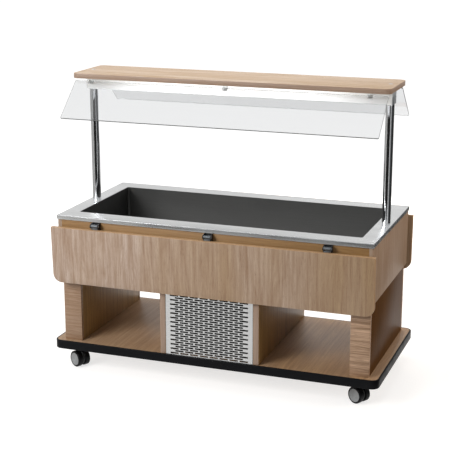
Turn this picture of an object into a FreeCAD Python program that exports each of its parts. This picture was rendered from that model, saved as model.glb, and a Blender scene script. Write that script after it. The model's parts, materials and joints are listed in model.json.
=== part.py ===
"""Mobile refrigerated salad bar, millimetres, +Z up.

The origin lies on the floor under the middle of the bar. X runs along the length,
the serving sides face -Y (front) and +Y (rear), and the floor is Z = 0.
"""
import FreeCAD, Part
import math
import os
import types

import Sketcher

Vector = FreeCAD.Vector
Rotation = FreeCAD.Rotation
Placement = FreeCAD.Placement

FRONT = -1
REAR = 1
LEFT = -1
RIGHT = 1
PICK = 0.5  # how near an edge lies to where it is looked for

# ---------------------------------------------------------------- driving sizes
SIZES = {
    # running gear
    "caster_height": 97.0,        # floor to the underside of the base
    "caster_inset_x": 83.0,       # base end to the swivel axis
    "caster_inset_y": 75.5,       # base side to the swivel axis
    "caster_trail": 18.0,         # swivel axis to the axle, level
    "plate_side": 62.0,           # square mounting plate
    "plate_thick": 3.0,
    "boss_side": 34.0,            # square boss under the plate
    "boss_drop": 5.0,
    "boss_bore": 12.1,            # swivel bearing in the plate and its boss
    "swivel_gap": 0.5,            # turning gap under the boss
    "stem_dia": 12.0,
    "head_side": 32.0,            # square head of the housing
    "head_thick": 5.5,
    "web_thick": 10.0,            # housing web between the two wheels
    "web_width": 24.0,
    "axle_dia": 8.0,
    "axle_gap": 0.5,              # axle's end to the wheel's cap
    "wheel_dia": 75.0,
    "wheel_width": 25.0,
    "wheel_bore": 8.1,
    "wheel_gap": 1.5,             # wheel face to the housing web
    "wheel_cap": 5.0,             # closed outer face over the axle's end
    "heading_front_left": -29.0,  # way each caster trails, degrees from +X
    "heading_front_right": 151.0,
    "heading_rear_left": 25.0,
    "heading_rear_right": 160.0,
    # base
    "base_margin_x": 38.0,        # base beyond the upper body's ends
    "base_margin_y": 11.5,        # base beyond the upper body's sides
    "base_thick": 40.0,
    "base_corner": 35.0,
    "bumper_thick": 6.5,
    # columns and machine compartment
    "column_height": 320.0,       # base board to the upper body
    "board_thick": 18.0,
    "column_setback_x": 8.0,      # upper body's end to a column's outer face
    "column_setback_y": 18.0,     # upper body's side to a column's edge
    "column_thick": 85.0,
    "machine_width": 409.0,       # clear width between the partitions
    "machine_proud": 5.0,         # partition edges beyond the upper body's sides
    "partition_thick": 26.0,
    # grilles
    "grille_sheet": 1.5,
    "grille_side_gap": 1.0,
    "grille_return": 14.0,        # depth of the folded side returns
    "slot_length": 37.5,
    "slot_height": 6.0,
    "slot_pitch": 46.4,
    "slot_margin": 10.0,          # least plain steel beside a row's end slots
    "row_pitch": 10.27,
    "first_row": 8.5,             # middle of the end rows to the panel's edges
    "rear_vent_height": 60.0,     # slotted part of the rear panel
    # upper body
    "well_length": 1310.0,        # four 1/1 pans side by side
    "well_width": 530.0,
    "well_depth": 200.0,
    "well_corner": 10.0,
    "rim_end": 70.0,              # frame from the well's ends to its own
    "rim_side": 87.5,             # frame from the well's sides to its own
    "frame_edge": 18.0,           # height of the frame's turned-down edge
    "frame_sheet": 1.5,
    "frame_corner": 3.0,
    "frame_overhang_x": 3.0,      # frame beyond the apron boards
    "frame_overhang_y": 7.5,
    "foam_under": 53.5,           # foam between the deck and the tub
    "drain_x": 110.0,
    "drain_bore": 26.0,
    "drain_wall": 3.0,
    "drain_flange": 52.0,
    "drain_flange_thick": 2.0,
    "drain_tail": 57.0,           # spout below the upper body
    # posts, light box and canopy
    "post_dia": 38.0,
    "post_wall": 1.5,
    "post_inset": 17.5,           # light box's end to a post's axis
    "post_height": 523.0,
    "lamp_inset": 10.0,           # upper body's end to the light box's
    "lamp_width": 75.0,
    "lamp_height": 64.0,
    "lamp_sheet": 2.0,
    "diffuser_thick": 3.0,
    "tube_dia": 26.0,
    "tube_spacing": 34.0,
    "canopy_overhang": 18.0,      # canopy beyond the light box's ends
    "canopy_width": 305.0,
    "canopy_thick": 23.0,
    "canopy_corner": 28.0,
    # glass
    "glass_overhang": 6.0,        # panes beyond the light box's ends
    "glass_slope": 220.0,         # width of a pane down its slope
    "glass_thick": 6.0,
    "glass_tilt": 42.0,           # degrees below level
    "glass_head_inset": 16.0,     # canopy's side to a pane's upper edge
    "glass_head_drop": 11.8,      # canopy's underside to a pane's upper edge
    "clip_width": 20.0,
    "clip_jaw": 3.0,
    "clip_grip": 12.0,
    "clip_back": 3.0,
    "clip_inset": 78.0,           # pane's end to the outer clips
    # tray slides
    "flap_overhang": 17.0,        # tray slide beyond the upper body's ends
    "flap_height": 258.0,
    "flap_thick": 20.0,
    "flap_corner": 40.0,
    "flap_lean": 2.5,             # rest angle, foot towards the body
    "flap_drop": 15.0,            # flap's upper edge below the pin
    "flap_setback": 2.0,          # flap's inner face outside the pin
    "pin_reach": 21.0,            # upper body's side to the pin
    "pin_drop": 33.0,             # rim's top to the pin
    "pin_dia": 7.9,
    "bracket_inset": 190.0,       # upper body's end to the outer brackets
    "bracket_width": 38.0,
    "bracket_sheet": 2.5,
    "bracket_nose": 10.0,
    "bracket_top": 12.0,          # above the pin
    "bracket_foot": 42.0,         # below the pin
    "leaf_gap": 1.0,
    "leaf_thick": 3.0,
    "leaf_drop": 130.0,
    "knuckle_width": 16.0,        # across the knuckle's eight flats
    "knuckle_bore": 8.1,
    # condensing unit
    "condenser_length": 300.0,
    "condenser_depth": 66.0,
    "condenser_height": 230.0,
    "condenser_gap": 17.0,        # partition's front edge to the fins
    "condenser_plate": 2.0,
    "condenser_foot": 12.0,
    "fin_count": 12,
    "fin_thick": 6.0,
    "tube_bundle_height": 190.0,
    "tube_bundle_depth": 40.0,
    "shroud_depth": 45.0,
    "shroud_sheet": 2.0,
    "fan_opening": 196.0,
    "fan_dia": 184.0,
    "fan_hub_dia": 52.0,
    "fan_depth": 26.0,
    "blade_count": 5,
    "blade_chord": 44.0,          # near the tip
    "blade_root_chord": 22.0,
    "blade_lead_drop": 7.0,       # leading corner below the tip
    "blade_tail_drop": 3.5,
    "blade_thick": 2.0,
    "blade_pitch": 30.0,
    "fan_gap": 3.0,
    "motor_dia": 78.0,
    "motor_length": 62.0,
    "motor_shaft": 8.0,
    "shaft_bore": 8.1,
    "motor_arm": 14.0,
    "motor_arm_thick": 3.0,
    "compressor_dia": 156.0,
    "compressor_height": 196.0,
    "compressor_crown_dia": 124.0,
    "compressor_crown": 20.0,     # height of the narrower crown
    "compressor_y": 60.0,
    "compressor_lift": 22.0,
    "compressor_foot": 190.0,
    "compressor_foot_width": 114.0,
    "compressor_foot_thick": 3.0,
    "rubber_width": 26.0,         # strips under the foot plate
    "terminal_box": 62.0,
    "terminal_proud": 31.0,
    "terminal_sink": 16.0,        # how far it reaches into the pot's side
    # controls on the rear service panel
    "control_length": 230.0,
    "control_height": 64.0,
    "control_thick": 2.0,
    "control_drop": 72.0,         # upper body's underside to the plate's middle
    "display_length": 76.0,
    "display_height": 34.0,
    "display_proud": 6.0,
    "display_inset": 55.0,        # plate's end to the display's middle
    "window_length": 46.0,
    "window_height": 20.0,
    "window_depth": 1.0,
    "switch_inset": 37.0,         # plate's other end to the last switch's middle
    "switch_pitch": 38.0,
    "case_wall": 2.0,
    "case_depth": 22.0,
    "rocker_width": 19.0,
    "rocker_height": 25.0,
    "rocker_back_height": 12.5,
    "rocker_proud": 4.0,
    "rocker_dip": 2.0,
    "rocker_gap": 1.0,
    "rocker_end_gap": 2.5,
    "rocker_tilt": 7.0,
    "lug_side": 3.0,              # square pivot lugs on the rocker's sides
    "notch_side": 3.4,            # and the notches in the case that they rock in
    "pivot_depth": 4.0,           # pivot behind the panel's face
    "gland_gap": 35.0,            # control plate's end to the gland's axis
    "gland_thread": 16.0,
    "gland_bore": 8.0,
    "gland_nut": 25.0,            # across the flats
    "gland_nut_thick": 5.0,
    "gland_cap": 20.0,            # across the flats
    "gland_cap_proud": 14.0,
    "gland_tail": 10.0,
}


# ------------------------------------------------------------- sizes as terms
class Term:
    """A size that carries its number and the sheet expression it comes from."""

    def __init__(self, number, text):
        self.number = number
        self.text = text

    def _join(self, sign, other, number):
        return Term(number, f"({self.text} {sign} {term(other).text})")

    def __add__(self, other):
        return self._join("+", other, self.number + term(other).number)

    def __sub__(self, other):
        return self._join("-", other, self.number - term(other).number)

    def __mul__(self, other):
        return self._join("*", other, self.number * term(other).number)

    def __truediv__(self, other):
        return self._join("/", other, self.number / term(other).number)

    def __rsub__(self, other):
        return term(other) - self

    def __neg__(self):
        return self * -1

    __radd__ = __add__
    __rmul__ = __mul__


def term(value):
    """Return value as a Term."""
    if isinstance(value, Term):
        return value
    return Term(value, f"({value})")


def cosine(angle):
    """Return the cosine of an angle Term in degrees."""
    return Term(math.cos(math.radians(angle.number)), f"cos({angle.text})")


def sine(angle):
    """Return the sine of an angle Term in degrees."""
    return Term(math.sin(math.radians(angle.number)), f"sin({angle.text})")


def whole(value):
    """Return the whole part of a Term, as a count."""
    return Term(math.floor(value.number), f"floor({value.text})")


def handed(hand, low, high):
    """Return a (low, high) pair on the positive side, or its mirror image."""
    return (low, high) if hand > 0 else (-high, -low)


doc = FreeCAD.newDocument("SaladBar")
sheet = doc.addObject("Spreadsheet::Sheet", "Sizes")
for row, (alias, value) in enumerate(SIZES.items(), start=1):
    sheet.set(f"A{row}", alias)
    sheet.set(f"B{row}", str(value))
    sheet.setAlias(f"B{row}", alias)
doc.recompute()
d = types.SimpleNamespace(**{k: Term(v, f"Sizes.{k}") for k, v in SIZES.items()})

# faces that several pieces share, from the well outwards
FRAME_X = d.well_length / 2 + d.rim_end
FRAME_Y = d.well_width / 2 + d.rim_side
BODY_X = FRAME_X - d.frame_overhang_x
BODY_Y = FRAME_Y - d.frame_overhang_y
INNER_X = BODY_X - d.board_thick
INNER_Y = BODY_Y - d.board_thick
BASE_X = BODY_X + d.base_margin_x
BASE_Y = BODY_Y + d.base_margin_y
STEM_X = BASE_X - d.caster_inset_x
STEM_Y = BASE_Y - d.caster_inset_y
MACHINE_X = d.machine_width / 2
MACHINE_Y = BODY_Y + d.machine_proud
LAMP_X = BODY_X - d.lamp_inset
GLASS_X = LAMP_X + d.glass_overhang
PIN_Y = BODY_Y + d.pin_reach
WHEEL_Y = d.web_thick / 2 + d.wheel_gap + d.wheel_width / 2
SPOUT_RADIUS = d.drain_bore / 2 + d.drain_wall

# and levels that they share, from the floor upwards
AXLE_DROP = d.caster_height - d.wheel_dia / 2
BASE_TOP = d.caster_height + d.base_thick
CONDENSER_FLOOR = BASE_TOP + d.condenser_foot
FAN_Z = CONDENSER_FLOOR + d.condenser_height / 2
BODY_FLOOR = BASE_TOP + d.column_height
CONTROL_Z = BODY_FLOOR - d.control_drop
DECK_TOP = BODY_FLOOR + d.board_thick
TUB_UNDER = DECK_TOP + d.foam_under
TUB_FLOOR = TUB_UNDER + d.frame_sheet
RIM_TOP = TUB_FLOOR + d.well_depth
SHEET_UNDER = RIM_TOP - d.frame_sheet
PIN_Z = RIM_TOP - d.pin_drop
LAMP_FLOOR = RIM_TOP + d.post_height
CANOPY_FLOOR = LAMP_FLOOR + d.lamp_height

nodes = []


# ---------------------------------------------------------------- small tools
def bind(obj, prop, value):
    """Tie one property to the sheet."""
    value = term(value)
    obj.setExpression(prop, value.text)


def place(obj, x=0, y=0, z=0, axis=None, angle=None):
    """Give an object its Placement, tied to the sheet."""
    x, y, z = term(x), term(y), term(z)
    turn = Rotation()
    if axis is not None:
        turn = Rotation(Vector(*axis), angle.number)
    obj.Placement = Placement(Vector(x.number, y.number, z.number), turn)
    for name, value in (("x", x), ("y", y), ("z", z)):
        bind(obj, f"Placement.Base.{name}", value)
    if axis is not None:
        bind(obj, "Placement.Rotation.Angle", angle)
    return obj


def keep(obj):
    """List an object as a piece that gets a file of its own."""
    nodes.append(obj)
    return obj


def board(label, x, y, z):
    """Make a plain board from its (low, high) pairs."""
    obj = doc.addObject("Part::Box", label)
    for prop, (low, high) in (("Length", x), ("Width", y), ("Height", z)):
        bind(obj, prop, term(high) - low)
    return place(obj, x[0], y[0], z[0])


def through(size):
    """Return a depth that clears a wall of this size on both sides."""
    return size * 4


def rod(label, radius, length, x, y, z, axis=None, angle=None):
    """Make a round rod that starts at a point and runs along +Z or a turned +Z."""
    obj = doc.addObject("Part::Cylinder", label)
    bind(obj, "Radius", radius)
    bind(obj, "Height", length)
    return place(obj, x, y, z, axis, angle)


def fuse(label, parts):
    """Join objects that are one piece."""
    obj = doc.addObject("Part::MultiFuse", label)
    obj.Shapes = parts
    return obj


def group(label, parts):
    """Gather separate pieces that share a file."""
    obj = doc.addObject("Part::Compound", label)
    obj.Links = parts
    return obj


def new_body(label):
    """Start a PartDesign body."""
    return doc.addObject("PartDesign::Body", label)


def new_sketch(body, name, role, offset=0, lean=None):
    """Attach a sketch to a plane of its own body's origin."""
    plane = next(f for f in body.Origin.OriginFeatures if f.Role == role)
    sketch = body.newObject("Sketcher::SketchObject", f"{body.Name}_{name}")
    sketch.AttachmentSupport = [(plane, "")]
    sketch.MapMode = "FlatFace"
    if lean is not None:
        axis = Vector(0, 1, 0)
        sketch.AttachmentOffset = Placement(Vector(), Rotation(axis, lean.number))
        bind(sketch, "AttachmentOffset.Rotation.Angle", lean)
    bind(sketch, "AttachmentOffset.Base.z", offset)
    return sketch


def fix_point(sketch, element, end, x, y):
    """Tie a point of a sketch to its two coordinates."""
    for kind, value in (("DistanceX", x), ("DistanceY", y)):
        value = term(value)
        index = sketch.addConstraint(Sketcher.Constraint(kind, element, end, value.number))
        sketch.setExpression(f"Constraints[{index}]", value.text)


def outline(sketch, points):
    """Draw a closed outline of straight lines through points tied to the sheet."""
    first = sketch.GeometryCount
    flat = [Vector(term(x).number, term(y).number, 0) for x, y in points]
    count = len(flat)
    for i in range(count):
        sketch.addGeometry(Part.LineSegment(flat[i], flat[(i + 1) % count]), False)
    for i in range(count):
        after = first + (i + 1) % count
        sketch.addConstraint(Sketcher.Constraint("Coincident", first + i, 2, after, 1))
    for i, (x, y) in enumerate(points):
        fix_point(sketch, first + i, 1, x, y)


def rectangle(sketch, length, height, x=0, y=0):
    """Draw a rectangle round a centre."""
    west, east = term(x) - length / 2, term(x) + length / 2
    south, north = term(y) - height / 2, term(y) + height / 2
    outline(sketch, [(west, south), (east, south), (east, north), (west, north)])


def circle(sketch, radius, x=0, y=0):
    """Draw a circle tied to its radius and centre."""
    x, y = term(x), term(y)
    middle = Vector(x.number, y.number, 0)
    round_edge = Part.Circle(middle, Vector(0, 0, 1), radius.number)
    element = sketch.addGeometry(round_edge, False)
    index = sketch.addConstraint(Sketcher.Constraint("Radius", element, radius.number))
    sketch.setExpression(f"Constraints[{index}]", radius.text)
    fix_point(sketch, element, 3, x, y)


def rounded_rectangle(sketch, length, width, radius):
    """Draw a centred rectangle with round corners, tangent all the way round."""
    first = sketch.GeometryCount
    half_x, half_y = length / 2, width / 2
    corners = [(1, 1, 0), (-1, 1, 90), (-1, -1, 180), (1, -1, 270)]
    for sign_x, sign_y, start in corners:
        centre = Vector(
            sign_x * (half_x - radius).number, sign_y * (half_y - radius).number, 0
        )
        bend = Part.Circle(centre, Vector(0, 0, 1), radius.number)
        arc = Part.ArcOfCircle(bend, math.radians(start), math.radians(start + 90))
        sketch.addGeometry(arc, False)
    for i in range(4):
        a = sketch.Geometry[first + i].EndPoint
        b = sketch.Geometry[first + (i + 1) % 4].StartPoint
        sketch.addGeometry(Part.LineSegment(a, b), False)
    for i, (sign_x, sign_y, _) in enumerate(corners):
        arc, line = first + i, first + 4 + i
        following = first + (i + 1) % 4
        sketch.addConstraint(Sketcher.Constraint("Tangent", arc, 2, line, 1))
        sketch.addConstraint(Sketcher.Constraint("Tangent", line, 2, following, 1))
        fix_point(sketch, arc, 3, (half_x - radius) * sign_x, (half_y - radius) * sign_y)
        index = sketch.addConstraint(Sketcher.Constraint("Radius", arc, radius.number))
        sketch.setExpression(f"Constraints[{index}]", radius.text)


def polygon(sketch, sides, across):
    """Draw an even-sided polygon round the origin from its size across the flats."""
    half_turn = 180 / sides
    corner = across / 2 / cosine(term(half_turn))
    turns = [term(half_turn * (2 * i + 1)) for i in range(sides)]
    outline(sketch, [(corner * cosine(turn), corner * sine(turn)) for turn in turns])


def pad(body, sketch, length, middle=False, back=False):
    """Pad a sketch, to one side or to both."""
    feature = body.newObject("PartDesign::Pad", f"{sketch.Name}_pad")
    feature.Profile = sketch
    bind(feature, "Length", length)
    feature.Midplane = middle
    feature.Reversed = back
    return feature


def pocket(body, sketch, length=None, middle=False, back=False):
    """Cut a sketch out, to a depth or right through."""
    feature = body.newObject("PartDesign::Pocket", f"{sketch.Name}_pocket")
    feature.Profile = sketch
    if length is None:
        feature.Type = "ThroughAll"
    else:
        bind(feature, "Length", length)
    feature.Midplane = middle
    feature.Reversed = back
    return feature


def revolve(body, sketch, axis="V_Axis"):
    """Turn a sketch once round one of its own axes."""
    feature = body.newObject("PartDesign::Revolution", f"{sketch.Name}_turn")
    feature.Profile = sketch
    feature.ReferenceAxis = (sketch, [axis])
    feature.Angle = 360
    return feature


def round_edges(body, base, radius, wanted):
    """Round the straight edges of a feature that a test picks."""
    doc.recompute()
    names = []
    for i, edge in enumerate(base.Shape.Edges, start=1):
        ends = [v.Point for v in edge.Vertexes]
        if len(ends) == 2 and edge.Curve.TypeId == "Part::GeomLine" and wanted(*ends):
            names.append(f"Edge{i}")
    feature = body.newObject("PartDesign::Fillet", f"{body.Name}_round")
    feature.Base = (base, names)
    bind(feature, "Radius", radius)
    return feature


# ---------------------------------------------------------------------- base
def make_base():
    """Base board with the black bumper band round its edge."""
    inner_length = (BASE_X - d.bumper_thick) * 2
    inner_width = (BASE_Y - d.bumper_thick) * 2
    inner_corner = d.base_corner - d.bumper_thick

    body = keep(new_body("base_board"))
    sketch = new_sketch(body, "plan", "XY_Plane")
    rounded_rectangle(sketch, inner_length, inner_width, inner_corner)
    pad(body, sketch, d.base_thick)
    place(body, z=d.caster_height)

    band = keep(new_body("base_bumper"))
    ring = new_sketch(band, "plan", "XY_Plane")
    rounded_rectangle(ring, BASE_X * 2, BASE_Y * 2, d.base_corner)
    rounded_rectangle(ring, inner_length, inner_width, inner_corner)
    pad(band, ring, d.base_thick)
    place(band, z=d.caster_height)


# --------------------------------------------------------- columns and compartment
def make_columns():
    """Two hollow end columns: side boards between full-width edge strips."""
    level = (BASE_TOP, BODY_FLOOR)
    reach = BODY_X - d.column_setback_x
    strip_y = BODY_Y - d.column_setback_y
    side = (d.board_thick - strip_y, strip_y - d.board_thick)
    inner_reach = reach - d.column_thick
    strips = []
    for hand, name in ((LEFT, "left"), (RIGHT, "right")):
        outer = handed(hand, reach - d.board_thick, reach)
        inner = handed(hand, inner_reach, inner_reach + d.board_thick)
        keep(board(f"column_{name}_outer", outer, side, level))
        keep(board(f"column_{name}_inner", inner, side, level))
        whole_width = handed(hand, inner_reach, reach)
        for edge, end in ((FRONT, "front"), (REAR, "rear")):
            across = handed(edge, strip_y - d.board_thick, strip_y)
            strips.append(board(f"strip_{name}_{end}", whole_width, across, level))
    keep(group("column_edges", strips))


def make_partitions():
    """Two boards that enclose the machine compartment."""
    level = (BASE_TOP, BODY_FLOOR)
    depth = (-MACHINE_Y, MACHINE_Y)
    outer = MACHINE_X + d.partition_thick
    for hand, name in ((LEFT, "left"), (RIGHT, "right")):
        keep(board(f"partition_{name}", handed(hand, MACHINE_X, outer), depth, level))


def slot_rows(body, name, slots, start, rows):
    """Cut one row of slots and repeat it upwards."""
    sketch = new_sketch(body, name, "XZ_Plane")
    for i in range(slots):
        middle = d.slot_pitch * (i - (slots - 1) / 2)
        rectangle(sketch, d.slot_length, d.slot_height, middle, start)
    first = pocket(body, sketch, through(d.grille_return), middle=True)
    pattern = body.newObject("PartDesign::LinearPattern", f"{sketch.Name}_rows")
    pattern.Originals = [first]
    pattern.Direction = (sketch, ["V_Axis"])
    pattern.Mode = "Spacing"
    bind(pattern, "Offset", d.row_pitch * 2)
    bind(pattern, "Occurrences", rows)
    body.Tip = pattern
    return pattern


def make_grille(label, side, vent_height, controls=False):
    """Slotted steel panel with folded side returns, its rows staggered by half a slot."""
    width = d.machine_width - d.grille_side_gap * 2
    height = BODY_FLOOR - BASE_TOP
    sheet_mid = d.grille_sheet / 2
    body = keep(new_body(label))
    face = new_sketch(body, "face", "XZ_Plane")
    rectangle(face, width, height, 0, height / 2)
    pad(body, face, d.grille_sheet, middle=True)
    folds = new_sketch(body, "folds", "XY_Plane")
    for hand in (LEFT, RIGHT):
        x = (width / 2 - sheet_mid) * hand
        y = (d.grille_return / 2) * -side
        rectangle(folds, d.grille_sheet, d.grille_return, x, y)
    pad(body, folds, height)
    rows = whole((vent_height - d.first_row * 2) / (d.row_pitch * 2)) + 1
    room = width - d.slot_margin * 2 - d.slot_length
    slots = int((whole(room / d.slot_pitch) + 1).number)
    slot_rows(body, "full_row", slots, d.first_row, rows)
    slot_rows(body, "short_row", slots - 1, d.first_row + d.row_pitch, rows - 1)
    if controls:
        hole = new_sketch(body, "switch_hole", "XZ_Plane")
        for x in switch_places():
            case = d.rocker_width + d.rocker_gap + d.case_wall * 2
            tall = d.rocker_height + d.rocker_end_gap * 2 + d.case_wall * 2
            rectangle(hole, case, tall, x, CONTROL_Z - BASE_TOP)
        pocket(body, hole, through(d.grille_return), middle=True)
        gland = new_sketch(body, "gland_hole", "XZ_Plane")
        circle(gland, d.gland_thread / 2, gland_place(), CONTROL_Z - BASE_TOP)
        pocket(body, gland, through(d.grille_return), middle=True)
    place(body, y=(MACHINE_Y - sheet_mid) * side, z=BASE_TOP)


# ---------------------------------------------------------------- upper body
def drained_board(label, low, high):
    """Board between the aprons, with the hole that the drain spout passes through."""
    body = new_body(label)
    plan = new_sketch(body, "plan", "XY_Plane")
    rectangle(plan, INNER_X * 2, INNER_Y * 2)
    circle(plan, SPOUT_RADIUS, d.drain_x, 0)
    pad(body, plan, high - low)
    return place(body, z=low)


def make_aprons():
    """Four apron boards and the deck between them."""
    level = (BODY_FLOOR, SHEET_UNDER)
    for side, name in ((FRONT, "front"), (REAR, "rear")):
        keep(board(f"apron_{name}", (-INNER_X, INNER_X), handed(side, INNER_Y, BODY_Y), level))
    for hand, name in ((LEFT, "left"), (RIGHT, "right")):
        keep(board(f"apron_{name}", handed(hand, INNER_X, BODY_X), (-BODY_Y, BODY_Y), level))
    keep(drained_board("well_deck", BODY_FLOOR, DECK_TOP))


def make_well():
    """Pressed tub with its drain, held in five boards of rigid foam."""
    tub_length = d.well_length + d.frame_sheet * 2
    tub_width = d.well_width + d.frame_sheet * 2
    tub_corner = d.well_corner + d.frame_sheet
    half_x, half_y = tub_length / 2, tub_width / 2
    level = (TUB_UNDER, SHEET_UNDER)
    foams = [drained_board("foam_floor", DECK_TOP, TUB_UNDER)]
    for side, name in ((FRONT, "front"), (REAR, "rear")):
        across = handed(side, half_y, INNER_Y)
        foams.append(board(f"foam_{name}", (-INNER_X, INNER_X), across, level))
    for hand, name in ((LEFT, "left"), (RIGHT, "right")):
        span = handed(hand, half_x, INNER_X)
        foams.append(board(f"foam_{name}", span, (-half_y, half_y), level))
    keep(group("well_foam", foams))

    tub = keep(new_body("well_tub"))
    shell = new_sketch(tub, "plan", "XY_Plane")
    rounded_rectangle(shell, tub_length, tub_width, tub_corner)
    pad(tub, shell, SHEET_UNDER - TUB_UNDER)
    inside = new_sketch(tub, "inside", "XY_Plane", d.frame_sheet)
    rounded_rectangle(inside, d.well_length, d.well_width, d.well_corner)
    pocket(tub, inside, d.well_depth, back=True)
    outlet = new_sketch(tub, "outlet", "XY_Plane")
    circle(outlet, SPOUT_RADIUS, d.drain_x, 0)
    pocket(tub, outlet, d.frame_sheet, back=True)
    place(tub, z=TUB_UNDER)

    spout = keep(new_body("drain_spout"))
    wall = new_sketch(spout, "wall", "XZ_Plane")
    bore, flange = d.drain_bore / 2, d.drain_flange / 2
    foot = BODY_FLOOR - d.drain_tail - TUB_FLOOR
    outline(wall, [
        (bore, foot), (SPOUT_RADIUS, foot), (SPOUT_RADIUS, 0),
        (flange, 0), (flange, d.drain_flange_thick), (bore, d.drain_flange_thick),
    ])
    revolve(spout, wall)
    place(spout, d.drain_x, 0, TUB_FLOOR)


def make_frame():
    """Stainless frame round the well: four folded rails, mitred at the corners."""
    pressing = new_body("frame_pressing")
    top = new_sketch(pressing, "top", "XY_Plane")
    rounded_rectangle(top, FRAME_X * 2, FRAME_Y * 2, d.frame_corner)
    pad(pressing, top, d.frame_edge)
    under = new_sketch(pressing, "under", "XY_Plane")
    rectangle(under, (FRAME_X - d.frame_sheet) * 2, (FRAME_Y - d.frame_sheet) * 2)
    pocket(pressing, under, d.frame_edge - d.frame_sheet, back=True)
    mouth = new_sketch(pressing, "mouth", "XY_Plane")
    rounded_rectangle(mouth, d.well_length, d.well_width, d.well_corner)
    pocket(pressing, mouth, through(d.frame_edge), middle=True)
    place(pressing, z=RIM_TOP - d.frame_edge)

    # each mitre runs from the frame's corner through the well's, to the middle line
    ridge = FRAME_X - d.rim_end * FRAME_Y / d.rim_side
    plans = {
        "front": [(-FRAME_X, -FRAME_Y), (FRAME_X, -FRAME_Y), (ridge, 0), (-ridge, 0)],
        "rear": [(FRAME_X, FRAME_Y), (-FRAME_X, FRAME_Y), (-ridge, 0), (ridge, 0)],
        "left": [(-FRAME_X, FRAME_Y), (-FRAME_X, -FRAME_Y), (-ridge, 0)],
        "right": [(FRAME_X, -FRAME_Y), (FRAME_X, FRAME_Y), (ridge, 0)],
    }
    rails = []
    for name, points in plans.items():
        wedge = new_body(f"mitre_{name}")
        plan = new_sketch(wedge, "plan", "XY_Plane")
        outline(plan, points)
        pad(wedge, plan, d.frame_edge)
        place(wedge, z=RIM_TOP - d.frame_edge)
        rail = doc.addObject("Part::MultiCommon", f"rail_{name}")
        rail.Shapes = [pressing, wedge]
        rails.append(rail)
    keep(group("top_frame", rails))


# ------------------------------------------------------ posts, lamp and canopy
def make_posts():
    """Two chromed tubes that carry the light box."""
    for hand, name in ((LEFT, "left"), (RIGHT, "right")):
        body = keep(new_body(f"post_{name}"))
        ring = new_sketch(body, "ring", "XY_Plane")
        circle(ring, d.post_dia / 2)
        circle(ring, d.post_dia / 2 - d.post_wall)
        pad(body, ring, d.post_height)
        place(body, (LAMP_X - d.post_inset) * hand, 0, RIM_TOP)


def make_lamp():
    """Steel light box with opal panes on both sides and a pair of tubes."""
    half_y = d.lamp_width / 2
    length = (LAMP_X - d.lamp_sheet) * 2
    body = keep(new_body("lamp_housing"))
    block = new_sketch(body, "section", "YZ_Plane")
    rectangle(block, d.lamp_width, d.lamp_height, 0, d.lamp_height / 2)
    pad(body, block, LAMP_X * 2, middle=True)
    window = new_sketch(body, "window", "XZ_Plane")
    rectangle(window, length, d.lamp_height - d.lamp_sheet * 2, 0, d.lamp_height / 2)
    pocket(body, window, through(d.lamp_width), middle=True)
    place(body, z=LAMP_FLOOR)

    span = (-length / 2, length / 2)
    level = (LAMP_FLOOR + d.lamp_sheet, CANOPY_FLOOR - d.lamp_sheet)
    middle = LAMP_FLOOR + d.lamp_height / 2
    panes, tubes = [], []
    for side, name in ((FRONT, "front"), (REAR, "rear")):
        across = handed(side, half_y - d.diffuser_thick, half_y)
        panes.append(board(f"diffuser_{name}", span, across, level))
        tubes.append(rod(f"tube_{name}", d.tube_dia / 2, length, -length / 2,
                         (d.tube_spacing / 2) * side, middle, (0, 1, 0), term(90)))
    keep(group("lamp_diffusers", panes))
    keep(group("lamp_tubes", tubes))


def make_canopy():
    """Laminate board on the light box."""
    body = keep(new_body("canopy_board"))
    plan = new_sketch(body, "plan", "XY_Plane")
    length = (LAMP_X + d.canopy_overhang) * 2
    rounded_rectangle(plan, length, d.canopy_width, d.canopy_corner)
    pad(body, plan, d.canopy_thick)
    place(body, z=CANOPY_FLOOR)


def make_clip(name, side, x, head_y, head_z):
    """Clip that hangs from the canopy and grips a pane's upper edge."""
    jaw = d.glass_thick / 2 + d.clip_jaw
    thin = d.glass_thick / 2
    clip = new_body(f"clip_grip_{name}")
    grip = new_sketch(clip, "grip", "YZ_Plane")
    outline(grip, [
        (-d.clip_back * side, -jaw), (d.clip_grip * side, -jaw),
        (d.clip_grip * side, -thin), (0, -thin), (0, thin),
        (d.clip_grip * side, thin), (d.clip_grip * side, jaw), (-d.clip_back * side, jaw),
    ])
    pad(clip, grip, d.clip_width, middle=True)
    place(clip, x, head_y * side, head_z, (-side, 0, 0), d.glass_tilt)
    half = d.clip_width / 2
    across = handed(side, head_y - d.clip_back, head_y + jaw)
    foot = board(f"clip_foot_{name}", (x - half, x + half), across,
                 (head_z + thin, CANOPY_FLOOR))
    return fuse(f"clip_{name}", [clip, foot])


def make_glass():
    """Two sloped panes, each held along its upper edge by three clips."""
    head_y = d.canopy_width / 2 - d.glass_head_inset
    head_z = CANOPY_FLOOR - d.glass_head_drop
    reach = GLASS_X - d.clip_inset
    clips = []
    for side, name in ((FRONT, "front"), (REAR, "rear")):
        pane = keep(new_body(f"glass_{name}"))
        section = new_sketch(pane, "section", "YZ_Plane")
        middle = (d.glass_slope / 2) * side
        rectangle(section, d.glass_slope, d.glass_thick, middle, 0)
        pad(pane, section, GLASS_X * 2, middle=True)
        place(pane, 0, head_y * side, head_z, (-side, 0, 0), d.glass_tilt)
        for i, x in enumerate((-reach, term(0), reach)):
            clips.append(make_clip(f"{name}_{i}", side, x, head_y, head_z))
    keep(group("glass_clips", clips))


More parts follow.
